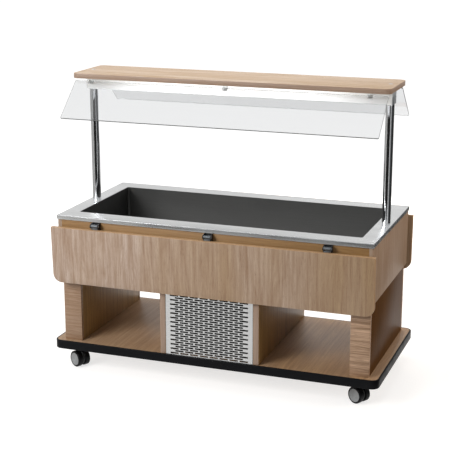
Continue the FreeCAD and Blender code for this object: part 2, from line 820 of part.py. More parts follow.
# ------------------------------------------------------------------ tray slides
def make_bracket(name, side, x):
    """Fixed U bracket: a back plate on the body, and a pin riveted between two cheeks."""
    back, nose = d.pin_reach, d.bracket_nose
    body = new_body(name)
    cheek = new_sketch(body, "cheek", "YZ_Plane")
    outline(cheek, [
        (-back * side, d.bracket_top), (0, nose), (nose * side, nose / 2),
        (nose * side, -nose / 2), (0, -nose), (-back * side, -d.bracket_foot),
    ])
    pad(body, cheek, d.bracket_width, middle=True)
    channel = new_sketch(body, "channel", "YZ_Plane")
    plate = back - d.bracket_sheet
    clear_y, clear_z = through(nose) * side, through(d.bracket_foot)
    outline(channel, [
        (-plate * side, clear_z), (clear_y, clear_z),
        (clear_y, -clear_z), (-plate * side, -clear_z),
    ])
    pocket(body, channel, d.bracket_width - d.bracket_sheet * 2, middle=True)
    pin = new_sketch(body, "pin", "YZ_Plane")
    circle(pin, d.pin_dia / 2)
    pad(body, pin, d.bracket_width - d.bracket_sheet, middle=True)
    return place(body, x, PIN_Y * side, PIN_Z)


def make_leaf(name, side, x):
    """Steel strap behind the flap with an eight-sided knuckle round the pin."""
    width = d.bracket_width - (d.bracket_sheet + d.leaf_gap) * 2
    body = new_body(name)
    knuckle = new_sketch(body, "knuckle", "YZ_Plane")
    polygon(knuckle, 8, d.knuckle_width)
    pad(body, knuckle, width, middle=True)
    strap = new_sketch(body, "strap", "YZ_Plane")
    face = d.flap_setback
    outline(strap, [
        (face * side, 0), ((face - d.leaf_thick) * side, 0),
        ((face - d.leaf_thick) * side, -d.leaf_drop), (face * side, -d.leaf_drop),
    ])
    pad(body, strap, width, middle=True)
    bore = new_sketch(body, "bore", "YZ_Plane")
    circle(bore, d.knuckle_bore / 2)
    pocket(body, bore, through(width), middle=True)
    return place(body, x, PIN_Y * side, PIN_Z, (-side, 0, 0), d.flap_lean)


def make_flap(label, side):
    """Tray slide board with round lower corners, hanging from its pins."""
    body = keep(new_body(label))
    face = new_sketch(body, "face", "XZ_Plane")
    middle = d.flap_drop + d.flap_height / 2
    rectangle(face, (BODY_X + d.flap_overhang) * 2, d.flap_height, 0, -middle)
    slab = pad(body, face, d.flap_thick, middle=True)
    foot = PICK - (d.flap_drop + d.flap_height).number
    round_edges(body, slab, d.flap_corner,
                lambda a, b: a.z < foot and b.z < foot and abs(a.x - b.x) < PICK)
    lean_y = d.flap_setback + d.flap_thick / 2
    y = PIN_Y + lean_y * cosine(d.flap_lean)
    z = PIN_Z - lean_y * sine(d.flap_lean)
    place(body, 0, y * side, z, (-side, 0, 0), d.flap_lean)


def make_flaps():
    """Tray slides on three pinned hinges along each serving side."""
    reach = BODY_X - d.bracket_inset
    brackets = []
    for side, name in ((FRONT, "front"), (REAR, "rear")):
        make_flap(f"flap_{name}", side)
        leaves = []
        for i, x in enumerate((-reach, term(0), reach)):
            brackets.append(make_bracket(f"bracket_{name}_{i}", side, x))
            leaves.append(make_leaf(f"leaf_{name}_{i}", side, x))
        keep(group(f"flap_{name}_hinges", leaves))
    keep(group("hinge_brackets", brackets))


# --------------------------------------------------------------------- casters
def make_caster_plate(name, x, y):
    """Fixed plate with the boss that the swivel stem turns in."""
    body = new_body(name)
    plan = new_sketch(body, "plan", "XY_Plane")
    rectangle(plan, d.plate_side, d.plate_side)
    pad(body, plan, d.plate_thick, back=True)
    boss = new_sketch(body, "boss", "XY_Plane", -d.plate_thick)
    rectangle(boss, d.boss_side, d.boss_side)
    pad(body, boss, d.boss_drop, back=True)
    bore = new_sketch(body, "bore", "XY_Plane")
    circle(bore, d.boss_bore / 2)
    pocket(body, bore, d.plate_thick + d.boss_drop)
    return place(body, x, y, d.caster_height)


def make_housing(label):
    """Swivel stem and head with the web that carries the axle between the wheels."""
    head_top = d.plate_thick + d.boss_drop + d.swivel_gap
    body = keep(new_body(label))
    stem = new_sketch(body, "stem", "XY_Plane", -d.plate_thick)
    circle(stem, d.stem_dia / 2)
    pad(body, stem, head_top - d.plate_thick, back=True)
    head = new_sketch(body, "head", "XY_Plane", -head_top)
    rectangle(head, d.head_side, d.head_side)
    pad(body, head, d.head_thick, back=True)
    web = new_sketch(body, "web", "XZ_Plane")
    half = d.web_width / 2
    trail = d.caster_trail
    outline(web, [
        (-half, -head_top), (half, -head_top), (trail + half, -AXLE_DROP),
        (trail + half / 2, -AXLE_DROP - half), (trail - half / 2, -AXLE_DROP - half),
        (trail - half, -AXLE_DROP),
    ])
    pad(body, web, d.web_thick, middle=True)
    bore = new_sketch(body, "bore", "XZ_Plane")
    circle(bore, d.axle_dia / 2, trail, -AXLE_DROP)
    pocket(body, bore, through(d.web_thick), middle=True)
    return body


def make_axle(label):
    """Axle through the web, ending inside both wheels."""
    half = WHEEL_Y + d.wheel_width / 2 - d.wheel_cap - d.axle_gap
    body = keep(new_body(label))
    section = new_sketch(body, "section", "XZ_Plane")
    circle(section, d.axle_dia / 2)
    pad(body, section, half * 2, middle=True)
    return body


def make_wheel(label, face):
    """Wheel with its tread moulded on, bored from the inner side for the axle."""
    half = d.wheel_width / 2
    bore, radius = d.wheel_bore / 2, d.wheel_dia / 2
    cap = half - d.wheel_cap
    body = keep(new_body(label))
    section = new_sketch(body, "section", "XY_Plane")
    outline(section, [
        (bore, -half * face), (radius, -half * face), (radius, half * face),
        (0, half * face), (0, cap * face), (bore, cap * face),
    ])
    revolve(body, section)
    return body


def make_caster(name, hand, side, heading):
    """Swivel housing, axle and two wheels, trailing along a heading."""
    stem_x, stem_y = STEM_X * hand, STEM_Y * side
    sign = 1 if heading.number >= 0 else -1
    turn = (0, 0, sign)
    angle = heading * sign
    place(make_housing(f"{name}_housing"), stem_x, stem_y, d.caster_height, turn, angle)

    axle_x = stem_x + d.caster_trail * cosine(heading)
    axle_y = stem_y + d.caster_trail * sine(heading)
    axle_z = d.wheel_dia / 2
    place(make_axle(f"{name}_axle"), axle_x, axle_y, axle_z, turn, angle)
    for face, mark in ((1, "a"), (-1, "b")):
        wheel_x = axle_x - WHEEL_Y * face * sine(heading)
        wheel_y = axle_y + WHEEL_Y * face * cosine(heading)
        wheel = make_wheel(f"{name}_wheel_{mark}", face)
        place(wheel, wheel_x, wheel_y, axle_z, turn, angle)


def make_casters():
    """Four twin-wheel casters under the corners of the base."""
    plates = []
    for side, end in ((FRONT, "front"), (REAR, "rear")):
        for hand, flank in ((LEFT, "left"), (RIGHT, "right")):
            heading = getattr(d, f"heading_{end}_{flank}")
            plates.append(make_caster_plate(f"plate_{end}_{flank}", STEM_X * hand,
                                            STEM_Y * side))
            make_caster(f"caster_{end}_{flank}", hand, side, heading)
    keep(group("caster_plates", plates))


# ------------------------------------------------------------- condensing unit
def make_condenser():
    """Finned block between two steel end plates that stand on the base."""
    half_x = d.condenser_length / 2
    inner_x = half_x - d.condenser_plate
    near = d.condenser_gap - MACHINE_Y
    far = near + d.condenser_depth
    top = CONDENSER_FLOOR + d.condenser_height
    parts = []
    for hand, name in ((LEFT, "left"), (RIGHT, "right")):
        span = handed(hand, inner_x, half_x)
        parts.append(board(f"condenser_plate_{name}", span, (near, far), (BASE_TOP, top)))
    middle = near + d.condenser_depth / 2
    deep, tall = d.tube_bundle_depth / 2, d.tube_bundle_height / 2
    parts.append(board("tube_bundle", (-inner_x, inner_x), (middle - deep, middle + deep),
                       (FAN_Z - tall, FAN_Z + tall)))
    count = int(d.fin_count.number)
    for i in range(count):
        x = d.condenser_length * ((i + 1) / (count + 1) - 0.5)
        parts.append(board(f"fin_{i}", (x - d.fin_thick / 2, x + d.fin_thick / 2),
                           (near, far), (CONDENSER_FLOOR, top)))
    keep(fuse("condenser", parts))
    return far


def make_shroud(start):
    """Open-fronted box on the condenser, with the fan's round opening in its back."""
    height = d.condenser_height
    clear = d.shroud_sheet * 2
    body = keep(new_body("fan_shroud"))
    block = new_sketch(body, "block", "XZ_Plane")
    rectangle(block, d.condenser_length, height, 0, height / 2)
    pad(body, block, d.shroud_depth, back=True)
    hollow = new_sketch(body, "hollow", "XZ_Plane")
    rectangle(hollow, d.condenser_length - clear, height - clear, 0, height / 2)
    pocket(body, hollow, d.shroud_depth - d.shroud_sheet)
    opening = new_sketch(body, "opening", "XZ_Plane")
    circle(opening, d.fan_opening / 2, 0, height / 2)
    pocket(body, opening, through(d.shroud_depth), middle=True)
    place(body, 0, start, CONDENSER_FLOOR)
    return start + d.shroud_depth


def make_rotor(y):
    """Five pitched blades round a hub that is bored for the motor's shaft."""
    body = keep(new_body("fan_rotor"))
    hub = new_sketch(body, "hub", "XZ_Plane")
    circle(hub, d.fan_hub_dia / 2)
    pad(body, hub, d.fan_depth, middle=True)
    blade = new_sketch(body, "blade", "XZ_Plane", lean=d.blade_pitch)
    root = d.fan_hub_dia / 2 - d.fan_gap
    tip = d.fan_dia / 2 - d.fan_gap
    chord, root_chord = d.blade_chord / 2, d.blade_root_chord / 2
    outline(blade, [
        (-root_chord, root), (root_chord, root), (chord, tip - d.blade_lead_drop),
        (root_chord, tip), (-chord, tip - d.blade_tail_drop),
    ])
    first = pad(body, blade, d.blade_thick, middle=True)
    ring = body.newObject("PartDesign::PolarPattern", "fan_rotor_blades")
    ring.Originals = [first]
    ring.Axis = (hub, ["N_Axis"])
    ring.Angle = 360
    bind(ring, "Occurrences", d.blade_count)
    body.Tip = ring
    bore = new_sketch(body, "bore", "XZ_Plane")
    circle(bore, d.shaft_bore / 2)
    pocket(body, bore, through(d.fan_depth), middle=True)
    place(body, 0, y, FAN_Z)


def make_motor(start, arm_start):
    """Fan motor on two arms that stand on the shroud's back."""
    turn = term(90)
    can = rod("motor_can", d.motor_dia / 2, d.motor_length, 0, start + d.motor_length,
              FAN_Z, (1, 0, 0), turn)
    shaft = rod("motor_shaft", d.motor_shaft / 2, d.fan_depth + d.fan_gap * 2, 0,
                start + d.fan_gap, FAN_Z, (1, 0, 0), turn)
    reach = d.fan_opening / 2 + d.motor_arm
    half = d.motor_arm / 2
    level = (FAN_Z - half, FAN_Z + half)
    arm_end = start + d.motor_arm
    parts = [can, shaft]
    for hand, name in ((LEFT, "left"), (RIGHT, "right")):
        span = handed(hand, d.motor_dia / 2 - d.fan_gap, reach)
        leg = handed(hand, reach - d.motor_arm_thick, reach)
        parts.append(board(f"motor_arm_{name}", span, (arm_end - d.motor_arm_thick, arm_end),
                           level))
        parts.append(board(f"motor_leg_{name}", leg, (arm_start, arm_end), level))
    keep(fuse("fan_motor", parts))


def make_fan(shroud_start):
    """Shroud, rotor and motor, one behind the other."""
    back = make_shroud(shroud_start)
    rotor_y = back - d.shroud_sheet / 2
    make_rotor(rotor_y)
    make_motor(rotor_y + d.fan_depth / 2 + d.fan_gap, back)


def make_compressor():
    """Hermetic pot on a foot plate with rubber strips and a terminal box."""
    radius = d.compressor_dia / 2
    crown = d.compressor_crown_dia / 2
    top = d.compressor_height
    shoulder = top - d.compressor_crown
    floor = BASE_TOP + d.compressor_lift
    body = new_body("compressor_pot")
    section = new_sketch(body, "section", "XZ_Plane")
    outline(section, [
        (0, 0), (radius, 0), (radius, shoulder), (crown, shoulder), (crown, top), (0, top),
    ])
    revolve(body, section)
    place(body, 0, d.compressor_y, floor)

    half = d.compressor_foot / 2
    wide = d.compressor_foot_width / 2
    depth = (d.compressor_y - wide, d.compressor_y + wide)
    plate_under = floor - d.compressor_foot_thick
    box = d.terminal_box / 2
    parts = [
        body,
        board("compressor_plate", (-half, half), depth, (plate_under, floor)),
        board("terminal_box", (radius - d.terminal_sink, radius + d.terminal_proud),
              (d.compressor_y - box, d.compressor_y + box),
              (floor + top / 2 - box, floor + top / 2 + box)),
    ]
    for hand, name in ((LEFT, "left"), (RIGHT, "right")):
        span = handed(hand, half - d.rubber_width, half)
        parts.append(board(f"rubber_{name}", span, depth, (BASE_TOP, plate_under)))
    keep(fuse("compressor", parts))


# -------------------------------------------------------------------- controls
def switch_places():
    """Return the middles of the two rocker switches along the control plate."""
    last = d.control_length / 2 - d.switch_inset
    return (last - d.switch_pitch, last)


def gland_place():
    """Return the cable gland's place beside the control plate."""
    return d.control_length / 2 + d.gland_gap


def make_control_plate():
    """Plate with a display bezel and the cases of two rocker switches."""
    body = keep(new_body("control_plate"))
    display_x = d.display_inset - d.control_length / 2
    face = new_sketch(body, "face", "XZ_Plane")
    rectangle(face, d.control_length, d.control_height)
    pad(body, face, d.control_thick, back=True)
    bezel = new_sketch(body, "bezel", "XZ_Plane")
    rectangle(bezel, d.display_length, d.display_height, display_x, 0)
    pad(body, bezel, d.display_proud, back=True)
    window = new_sketch(body, "window", "XZ_Plane", -d.display_proud)
    rectangle(window, d.window_length, d.window_height, display_x, 0)
    pocket(body, window, d.window_depth, back=True)
    inner_width = d.rocker_width + d.rocker_gap
    inner_height = d.rocker_height + d.rocker_end_gap * 2
    cases = new_sketch(body, "cases", "XZ_Plane")
    holes = new_sketch(body, "holes", "XZ_Plane", -d.control_thick)
    first, last = switch_places()
    for x in (first, last):
        rectangle(cases, inner_width + d.case_wall * 2, inner_height + d.case_wall * 2, x, 0)
        rectangle(holes, inner_width, inner_height, x, 0)
    pad(body, cases, d.case_depth)
    pocket(body, holes, d.case_depth + d.control_thick - d.case_wall, back=True)
    notch = new_sketch(body, "notch", "YZ_Plane", (first + last) / 2)
    rectangle(notch, d.notch_side, d.notch_side, -d.pivot_depth, 0)
    pocket(body, notch, d.switch_pitch + inner_width + d.case_wall, middle=True)
    place(body, 0, MACHINE_Y, CONTROL_Z)


def make_rocker(label, x):
    """Rocker with a dipped face, on two square lugs."""
    body = keep(new_body(label))
    side = new_sketch(body, "side", "YZ_Plane")
    proud = d.pivot_depth + d.control_thick + d.rocker_proud
    half, narrow = d.rocker_height / 2, d.rocker_back_height / 2
    outline(side, [
        (-d.pivot_depth, -narrow), (d.pivot_depth, -half), (proud, -half),
        (proud - d.rocker_dip, 0), (proud, half), (d.pivot_depth, half),
        (-d.pivot_depth, narrow),
    ])
    pad(body, side, d.rocker_width, middle=True)
    lug = new_sketch(body, "lug", "YZ_Plane")
    rectangle(lug, d.lug_side, d.lug_side)
    pad(body, lug, d.rocker_width + d.rocker_gap + d.case_wall, middle=True)
    place(body, x, MACHINE_Y - d.pivot_depth, CONTROL_Z, (1, 0, 0), d.rocker_tilt)


def make_gland():
    """Cable gland: a bored thread through the panel with its hexagon nut and cap."""
    body = keep(new_body("cable_gland"))
    thread = new_sketch(body, "thread", "XZ_Plane")
    circle(thread, d.gland_thread / 2)
    pad(body, thread, d.gland_tail)
    nut = new_sketch(body, "nut", "XZ_Plane")
    polygon(nut, 6, d.gland_nut)
    pad(body, nut, d.gland_nut_thick, back=True)
    cap = new_sketch(body, "cap", "XZ_Plane")
    polygon(cap, 6, d.gland_cap)
    pad(body, cap, d.gland_cap_proud, back=True)
    bore = new_sketch(body, "bore", "XZ_Plane")
    circle(bore, d.gland_bore / 2)
    pocket(body, bore, through(d.gland_tail + d.gland_cap_proud), middle=True)
    place(body, gland_place(), MACHINE_Y, CONTROL_Z)


def make_controls():
    """Control plate, its two rockers and the gland beside it."""
    make_control_plate()
    for label, x in zip(("main_switch", "lamp_switch"), switch_places()):
        make_rocker(label, x)
    make_gland()


# ------------------------------------------------------------------------ build
make_base()
make_columns()
make_partitions()
make_grille("grille_front", FRONT, BODY_FLOOR - BASE_TOP)
make_grille("grille_rear", REAR, d.rear_vent_height, controls=True)
make_aprons()
make_well()
make_frame()
make_posts()
make_lamp()
make_canopy()
make_glass()
make_flaps()
make_casters()
make_fan(make_condenser())
make_compressor()
make_controls()
doc.recompute()

# --------------------------------------------------------------- check and write
faults = [o.Name for o in doc.Objects if {"Invalid", "Error"} & set(o.State)]
for piece in nodes:
    if piece.Shape.isNull() or not piece.Shape.isValid() or not piece.Shape.Solids:
        faults.append(f"{piece.Label} shape")
if faults:
    raise RuntimeError("failed objects: " + ", ".join(faults))

os.makedirs("parts", exist_ok=True)
for piece in nodes:
    piece.Shape.exportStep(os.path.join("parts", f"{piece.Label}.step"))
    print(f"{piece.Label}: {len(piece.Shape.Solids)} solid(s)")
print(f"{len(nodes)} nodes written")
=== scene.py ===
"""Looks of a mobile refrigerated salad bar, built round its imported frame.

Lengths are metres in the frame's own axes: X runs along the bar, -Y is the front
serving side and Z is up from the floor.
"""
import json
import logging
import math
from contextlib import contextmanager
from dataclasses import dataclass
from enum import Enum
from typing import Any, Callable, Iterable, Iterator, Sequence

import bmesh
import bpy
from mathutils import Matrix, Vector

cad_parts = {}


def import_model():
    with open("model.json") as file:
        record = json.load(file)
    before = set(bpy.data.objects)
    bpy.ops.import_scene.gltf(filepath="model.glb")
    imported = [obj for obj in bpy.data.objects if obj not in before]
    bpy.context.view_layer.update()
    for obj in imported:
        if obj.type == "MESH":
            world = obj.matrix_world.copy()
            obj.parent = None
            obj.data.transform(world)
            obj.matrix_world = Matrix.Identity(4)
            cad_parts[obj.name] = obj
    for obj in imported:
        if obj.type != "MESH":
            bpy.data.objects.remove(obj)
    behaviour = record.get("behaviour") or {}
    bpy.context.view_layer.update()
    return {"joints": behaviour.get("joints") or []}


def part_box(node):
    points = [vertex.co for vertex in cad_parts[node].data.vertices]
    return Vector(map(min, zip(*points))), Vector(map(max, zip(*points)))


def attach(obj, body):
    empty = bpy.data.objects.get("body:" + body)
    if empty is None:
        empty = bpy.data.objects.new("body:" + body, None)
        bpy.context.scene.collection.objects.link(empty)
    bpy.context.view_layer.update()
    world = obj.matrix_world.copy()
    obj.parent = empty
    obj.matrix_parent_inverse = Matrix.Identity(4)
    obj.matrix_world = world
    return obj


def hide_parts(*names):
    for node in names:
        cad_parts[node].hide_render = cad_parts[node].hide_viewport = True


LOG = logging.getLogger("salad_bar")
NEAR = 0.00005  # how close a point lies to where it is looked for
LEVEL = 0.99  # least share of a normal along an axis that it counts as facing

Piece = bpy.types.Object
Tree = bpy.types.NodeTree
Node = bpy.types.Node
Socket = bpy.types.NodeSocket
Point = Sequence[float]
Test = Callable[[Any], bool]
Sockets = dict[str, Any]


class Grain(Enum):
    """The frame axis that a surface's grain or brushing follows."""

    LENGTH = 0
    DEPTH = 1
    UPRIGHT = 2


class Labelled(Enum):
    """Something that the frame's node names call by a word."""

    @property
    def label(self) -> str:
        """Return the word."""
        return self.name.lower()


class Side(Labelled):
    """A serving side of the bar, by the sign of Y."""

    FRONT = -1
    REAR = 1


class Hand(Labelled):
    """An end of the bar, by the sign of X."""

    LEFT = -1
    RIGHT = 1


# ------------------------------------------------------------------ shader tools
def colour(code: str) -> tuple[float, float, float, float]:
    """Turn an sRGB hex value into linear red, green, blue and full alpha.

    Args:
        code: six hex digits after a #.

    Returns:
        The linear colour that a shader socket takes.
    """
    digits = code.lstrip("#")
    parts = [int(digits[i:i + 2], 16) / 255 for i in (0, 2, 4)]
    linear = [p / 12.92 if p <= 0.04045 else ((p + 0.055) / 1.055) ** 2.4 for p in parts]
    return (*linear, 1.0)


def fill(tree: Tree, node: Node, inputs: dict) -> None:
    """Give a node its values and links.

    Args:
        tree: the node tree that holds it.
        node: the node.
        inputs: by input name or index, a value, a socket, or a node whose first live
            output is linked.
    """
    for key, value in inputs.items():
        if isinstance(value, Node):
            value = next(s for s in value.outputs if s.enabled)
        if isinstance(value, Socket):
            tree.links.new(value, node.inputs[key])
        else:
            node.inputs[key].default_value = value


def add_node(tree: Tree, kind: str, inputs: dict | None = None,
             **settings: Any) -> Node:
    """Add a shader node with its settings, values and links.

    Args:
        tree: the node tree to add to.
        kind: the node's type without the ShaderNode prefix.
        inputs: what fill() takes.
        settings: properties of the node itself.

    Returns:
        The new node.
    """
    node = tree.nodes.new("ShaderNode" + kind)
    for name, value in settings.items():
        setattr(node, name, value)
    fill(tree, node, inputs or {})
    return node


@dataclass(frozen=True)
class Marks:
    """Noise whose marks have a real size, in millimetres."""

    along: float  # length of a mark along the grain
    across: float
    detail: float = 2.0
    breaks: float = 0.5  # how strongly a mark splits into finer ones

    def draw(self, tree: Tree, place: Socket, grain: Grain = Grain.LENGTH) -> Node:
        """Draw the marks on Object coordinates.

        Args:
            tree: the node tree to add to.
            place: the coordinates, in metres.
            grain: the axis that the marks follow.

        Returns:
            The noise, from 0 to 1.
        """
        scale = [1000 / self.across] * 3
        scale[grain.value] = 1000 / self.along
        sized = add_node(tree, "VectorMath", {0: place, 1: scale}, operation="MULTIPLY")
        return add_node(tree, "TexNoise", {"Vector": sized, "Scale": 1.0,
                                           "Detail": self.detail, "Roughness": self.breaks})


@dataclass(frozen=True)
class Finish:
    """What a surface is made of. Each kind of finish fills its own shader."""

    name: str

    def material(self) -> bpy.types.Material:
        """Return the finish's material, made the first time it is asked for."""
        found = bpy.data.materials.get(self.name)
        if found is None:
            found = bpy.data.materials.new(self.name)
            found.use_nodes = True
            tree = found.node_tree
            place = add_node(tree, "TexCoord").outputs["Object"]
            fill(tree, tree.nodes["Principled BSDF"], self.sockets(tree, place))
        return found

    def sockets(self, tree: Tree, place: Socket) -> Sockets:
        """Draw the finish's patterns.

        Args:
            tree: the material's node tree.
            place: the piece's own coordinates, in metres.

        Returns:
            What the Principled shader takes, by input name.
        """
        raise NotImplementedError


# ---------------------------------------------------------------------- finishes
@dataclass(frozen=True)
class OakLaminate(Finish):
    """Melamine board pressed with a printed oak decor.

    The print gives broad drifts from pinkish grey to brown, faint cathedral arches,
    fine streaks and short dark pores, and the pressed melamine a satin sheen that
    breaks up a little in the pores. A slope from the cool tone to the warm one along X
    is partly painted light and shade falling across the bar, partly the decor's own drift.
    """

    grain: Grain = Grain.UPRIGHT
    shift: float = 0.0  # metres that the print is slid along every axis
    turn: float = 0.6  # share of the change from cool to warm in a metre along X: partly painted light and shade across the bar, partly the decor's own drift
    cool: str = "#b39c8d"
    warm: str = "#a78b70"
    vein: str = "#8a6c52"
    pore: str = "#6d5440"
    figure: float = 1.0  # strength of the growth rings and arches
    shine: float = 0.5  # how much it mirrors at its face
    roughness: float = 0.44
    ring_gap: float = 0.013  # metres between arches, as on a plain-sawn face

    def sockets(self, tree: Tree, place: Socket) -> Sockets:
        """Draw the oak print and its pores."""
        slid = add_node(tree, "VectorMath", {0: place, 1: (self.shift,) * 3})
        drift = Marks(1400, 130, 1.5).draw(tree, slid, self.grain)
        blotch = add_node(tree, "Math", {0: drift, 1: 1.6, 2: -0.3}, operation="MULTIPLY_ADD")
        # the slope along X paints light and shade falling across the bar into the tone, on top
        # of the print's own drift
        side = add_node(tree, "SeparateXYZ", {0: place}).outputs[0]
        ground = add_node(tree, "Mix", {
            0: add_node(tree, "Math", {0: side, 1: self.turn, 2: blotch},
                        operation="MULTIPLY_ADD", use_clamp=True),
            6: colour(self.cool), 7: colour(self.warm)}, data_type="RGBA")
        # arches are the level lines of a slow warp
        warp = Marks(480, 62, 1.0).draw(tree, slid, self.grain)
        level = [1.0, 1.0, 1.0]
        level[self.grain.value] = 0.0
        across = add_node(tree, "VectorMath", {0: slid, 1: level}, operation="DOT_PRODUCT")
        bent = add_node(tree, "Math", {
            0: warp, 1: 0.15, 2: across.outputs["Value"]}, operation="MULTIPLY_ADD")
        turns = add_node(tree, "Math", {0: bent, 1: math.tau / self.ring_gap},
                         operation="MULTIPLY")
        arches = add_node(tree, "MapRange", {
            0: add_node(tree, "Math", {0: turns}, operation="SINE"),
            1: -1.0, 2: 1.0, 3: 0.0, 4: 0.16 * self.figure})
        # growth rings cut along the grain: bands 14 mm wide that split down to 1 mm
        streaks = Marks(420, 14, 5.0, 0.68).draw(tree, slid, self.grain)
        darker = add_node(tree, "MapRange", {0: streaks, 1: 0.36, 2: 0.7, 3: 0.0,
                                             4: 0.8 * self.figure})
        inked = add_node(tree, "Math", {0: arches, 1: darker}, operation="ADD",
                         use_clamp=True)
        veined = add_node(tree, "Mix", {0: inked, 6: ground, 7: colour(self.vein)},
                          data_type="RGBA")
        dots = Marks(24, 1.4, 2.0).draw(tree, slid, self.grain)
        pores = add_node(tree, "MapRange", {0: dots, 1: 0.57, 2: 0.68, 3: 0.0, 4: 0.4})
        printed = add_node(tree, "Mix", {0: pores, 6: veined, 7: colour(self.pore)},
                           data_type="RGBA")
        relief = add_node(tree, "Bump", {
            "Height": add_node(tree, "Math", {0: 1.0, 1: pores}, operation="SUBTRACT"),
            "Strength": 0.3, "Distance": 0.00015})
        return {"Base Color": printed, "Roughness": self.roughness, "Normal": relief,
                "Specular IOR Level": self.shine}


@dataclass(frozen=True)
class EdgeBand(Finish):
    """Thin plastic edging ironed on a board's edge.

    Its print is finer and plainer than the board's, and it shines a little more.
    """

    grain: Grain = Grain.UPRIGHT
    tone: str = "#ab8d70"
    vein: str = "#8f6e4f"
    roughness: float = 0.4

    def sockets(self, tree: Tree, place: Socket) -> Sockets:
        """Draw the fine print of the edging."""
        lines = Marks(150, 3, 3.0).draw(tree, place, self.grain)
        share = add_node(tree, "MapRange", {0: lines, 1: 0.35, 2: 0.7})
        printed = add_node(tree, "Mix", {0: share, 6: colour(self.tone),
                                         7: colour(self.vein)}, data_type="RGBA")
        relief = add_node(tree, "Bump", {"Height": share, "Strength": 0.1,
                                         "Distance": 0.00005})
        return {"Base Color": printed, "Roughness": self.roughness, "Normal": relief}


@dataclass(frozen=True)
class BrushedSteel(Finish):
    """Stainless sheet ground with a fine belt.

    The belt leaves long hair lines that draw a reflection out across them.
    """

    along: Grain = Grain.LENGTH
    tone: str = "#dcdddd"
    roughness: float = 0.3
    contrast: float = 0.14

    def sockets(self, tree: Tree, place: Socket) -> Sockets:
        """Draw hair lines in the tone, the roughness and the relief."""
        # real hair lines are 0.05 mm wide; they are drawn 0.9 mm wide so that they show
        hairs = Marks(240, 0.9, 3.0).draw(tree, place, self.along)
        clouds = Marks(400, 90, 1.0).draw(tree, place, self.along)
        both = add_node(tree, "Math", {0: hairs, 1: clouds}, operation="ADD")
        half = self.contrast / 2
        rough = add_node(tree, "MapRange", {0: both, 1: 0.7, 2: 1.3,
                                            3: self.roughness - half,
                                            4: self.roughness + half})
        share = add_node(tree, "MapRange", {0: both, 1: 0.7, 2: 1.3, 3: 0.0, 4: 0.12})
        ground = add_node(tree, "Mix", {0: share, 6: colour(self.tone),
                                        7: colour("#000000")}, data_type="RGBA")
        relief = add_node(tree, "Bump", {"Height": hairs, "Strength": 0.12,
                                         "Distance": 0.00004})
        return {"Base Color": ground, "Metallic": 1.0, "Roughness": rough,
                "Normal": relief}


@dataclass(frozen=True)
class PunchedSteel(BrushedSteel):
    """Belt-ground sheet with punched slots.

    The punch shears the slots' walls rough and dull and rolls their edges over. The walls
    are painted near black and a band round each slot's edge darker, as painted shade in
    and round the slots, so the slots read as black slits.
    """

    # the sheared walls' near-black tone is painted shade inside the slots
    wall: str = "#202122"
    roll: float = 0.0012  # metres from a slot's edge that the painted shade round it reaches

    def sockets(self, tree: Tree, place: Socket) -> Sockets:
        """Draw the sheared walls, which are the faces that look neither way along Y, and paint
        shade on them and in a band round each slot's edge.
        """
        taken = super().sockets(tree, place)
        facing = add_node(tree, "SeparateXYZ", {
            0: add_node(tree, "TexCoord").outputs["Normal"]})
        flat = add_node(tree, "Math", {0: facing.outputs[1]}, operation="ABSOLUTE")
        sheared = add_node(tree, "Math", {0: flat, 1: 0.5}, operation="LESS_THAN")
        # painted shade: occlusion close to a slot's edge darkens a band round it
        depth = add_node(tree, "AmbientOcclusion", {"Distance": self.roll}, inside=True,
                         only_local=True, samples=8)
        painted_edge_shade = add_node(tree, "MapRange", {0: depth.outputs["AO"], 1: 0.6, 2: 1.0,
                                             3: 1.0, 4: 0.0})
        # where the painted shade goes: the walls and the band round each slot
        wall = add_node(tree, "Math", {0: sheared, 1: painted_edge_shade}, operation="MAXIMUM")
        taken["Base Color"] = add_node(tree, "Mix", {0: wall, 6: taken["Base Color"],
                                                     7: colour(self.wall)},
                                       data_type="RGBA")
        taken["Roughness"] = add_node(tree, "Math", {0: taken["Roughness"], 1: wall},
                                      operation="MAXIMUM")
        return taken


@dataclass(frozen=True)
class Chrome(Finish):
    """Polished chrome plate on tube: a clear mirror with a breath of handling haze."""

    tone: str = "#dfe1e4"
    roughness: float = 0.07

    def sockets(self, tree: Tree, place: Socket) -> Sockets:
        """Draw the faint haze in the roughness."""
        haze = Marks(60, 40, 2.0).draw(tree, place)
        rough = add_node(tree, "MapRange", {0: haze, 1: 0.3, 2: 0.7,
                                            3: self.roughness * 0.6,
                                            4: self.roughness * 1.5})
        return {"Base Color": colour(self.tone), "Metallic": 1.0, "Roughness": rough}


